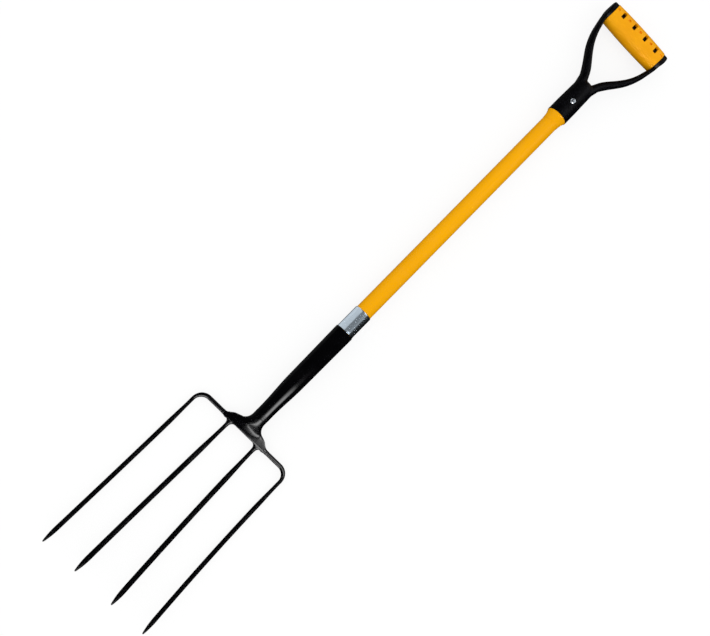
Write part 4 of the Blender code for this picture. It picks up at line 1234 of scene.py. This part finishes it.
# Where the box over the head brightens to full and where it fades out again, in X and in Y.
BOX_ACROSS = (0.006, 0.121), (0.14, 0.375)
BOX_ALONG = (-0.325, -0.265), (-0.27, -0.178)
BOX_LOW, BOX_HIGH, BOX_HEIGHT = (0.006, -0.35), (0.375, -0.178), 0.20
CARD_LOW, CARD_HIGH, CARD_HEIGHT = (0.02, -0.8), (1.2, 0.8), 0.0005
# The same in the dome: in degrees from straight up over to the right, and in a direction's Y.
DOME_ACROSS = (2.0, 36.0), (40.0, 66.0)
DOME_PAST_TIPS, DOME_PAST_HANDLE = (-0.42, -0.24), (0.26, 0.38)


def steel_sheet(name, left, right, radiance, seen_by=STEEL):
    """A sheet of light along Y between two lines, given in X and Z, that only the steel sees."""
    left, right = (Vector((x, SHEET_MIDDLE_Y, z)) for x, z in (left, right))
    across = right - left
    data = bpy.data.lights.new(name, "AREA")
    data.shape = "RECTANGLE"
    data.size, data.size_y = across.length, SHEET_LENGTH
    data.energy = radiance * math.pi * across.length * SHEET_LENGTH
    sheet = shown(name, data)
    x_axis = across.normalized()
    turn = Matrix((x_axis, (0, 1, 0), x_axis.cross(Vector((0, 1, 0))))).transposed()
    sheet.matrix_world = Matrix.Translation((left + right) / 2) @ turn.to_4x4()
    sheet.visible_camera = False
    sheet.light_linking.receiver_collection = seen_by


# The bright steel alone sees white sheets on the left, and the ferrule alone a grey ceiling with a
# paler band at its right end.
steel_sheet("left_wall", (-1.30, 0.03), (-0.64, 1.34), 0.75)
steel_sheet("left_floor", (-0.03, 0.004), (-1.30, 0.03), 0.72)
steel_sheet("grey_ceiling", (-0.64, 1.34), (1.12, 1.60), 0.24, FERRULE_ALONE)
steel_sheet("right_band", (1.12, 1.60), (1.60, 1.15), 0.34, FERRULE_ALONE)


def faded(value, rise, fall):
    """Rises from 0 to 1 over one stretch and falls back over the next."""
    return remapped(value, *rise) * remapped(value, *fall, 1.0, 0.0)


def soft_box_light():
    """White light that fades out towards the edges of the box over the head."""
    made, shader, place = material(
        "soft_box", Base_Color=(0, 0, 0, 1), Emission_Color=(1, 1, 1, 1)
    )
    spot = node(place, "ShaderNodeSeparateXYZ", {0: place})
    across = faded(spot["X"], *BOX_ACROSS)
    along = faded(spot["Y"], *BOX_ALONG)
    linked(shader, Emission_Strength=across * along * SOFT_BOX_RADIANCE)
    made.cycles.emission_sampling = "NONE"
    return made


card_black = material("card_black", Base_Color=(0.01, 0.01, 0.01, 1), Specular_IOR_Level=0.0)[0]
for card in (
    level_sheet("black_card", CARD_LOW, CARD_HIGH, CARD_HEIGHT, card_black),
    level_sheet("head_soft_box", BOX_LOW, BOX_HIGH, BOX_HEIGHT, soft_box_light()),
):
    card.visible_camera = card.visible_diffuse = card.visible_shadow = False
    card.visible_transmission = False


def make_studio():
    """A white dome for the light on things, and for reflections a dark one with its soft boxes."""
    world = bpy.data.worlds.new("studio")
    world.use_nodes = True
    way = node(world.node_tree, "ShaderNodeTexCoord")["Generated"]
    way = node(way, "ShaderNodeSeparateXYZ", {0: way})
    degrees = reckoned("ARCTAN2", way["X"], way["Z"]) * (180 / math.pi)
    past_tips = remapped(way["Y"], *DOME_PAST_TIPS, 1.0, 0.0) * SOFT_BOX_RADIANCE
    along = remapped(way["Y"], *DOME_PAST_HANDLE) * HANDLE_BOX_RADIANCE + past_tips
    mirrored = faded(degrees, *DOME_ACROSS) * along + DARK_DOME
    is_mirrored = node(way, "ShaderNodeLightPath")["Is Glossy Ray"]
    background = world.node_tree.nodes["Background"]
    background.inputs["Color"].default_value = (1, 1, 1, 1)
    linked(background, Strength=node(way, "ShaderNodeMix", {0: is_mirrored, 2: 1.0, 3: mirrored}))
    world.cycles.sampling_method = "NONE"
    return world


bpy.context.scene.world = make_studio()


# Camera
# It looks down from above the head's left, with the shaft rising to the right across the picture.
# Its place and its turn were fitted to the photograph.

CAMERA_SPOT = Vector((-0.17093, -0.21938, 1.55752))
CAMERA_AIM = Vector((-0.00247, -0.05119, AXIS_Z))
SHAFT_SLOPE = math.radians(45.48131)    # of the shaft's direction above the picture's horizontal
LENS_MM, SENSOR_MM = 50.0, 36.0
PHOTO_WIDTH = 710
HALF_PIXEL = 0.5

view = (CAMERA_AIM - CAMERA_SPOT).normalized()
along_shaft = (Vector((0, 1, 0)) - view * view.y).normalized()
across_shaft = view.cross(along_shaft)
picture_right = along_shaft * math.cos(SHAFT_SLOPE) + across_shaft * math.sin(SHAFT_SLOPE)
picture_up = along_shaft * math.sin(SHAFT_SLOPE) - across_shaft * math.cos(SHAFT_SLOPE)
camera_data = bpy.data.cameras.new("camera")
camera_data.lens = LENS_MM
camera_data.sensor_width = SENSOR_MM
camera_data.shift_x = -HALF_PIXEL / PHOTO_WIDTH
camera_data.shift_y = HALF_PIXEL / PHOTO_WIDTH
camera = shown("camera", camera_data)
axes = Matrix((picture_right, picture_up, -view)).transposed().to_4x4()
camera.matrix_world = Matrix.Translation(CAMERA_SPOT) @ axes
bpy.context.scene.camera = camera
bpy.context.scene.view_settings.view_transform = "Standard"
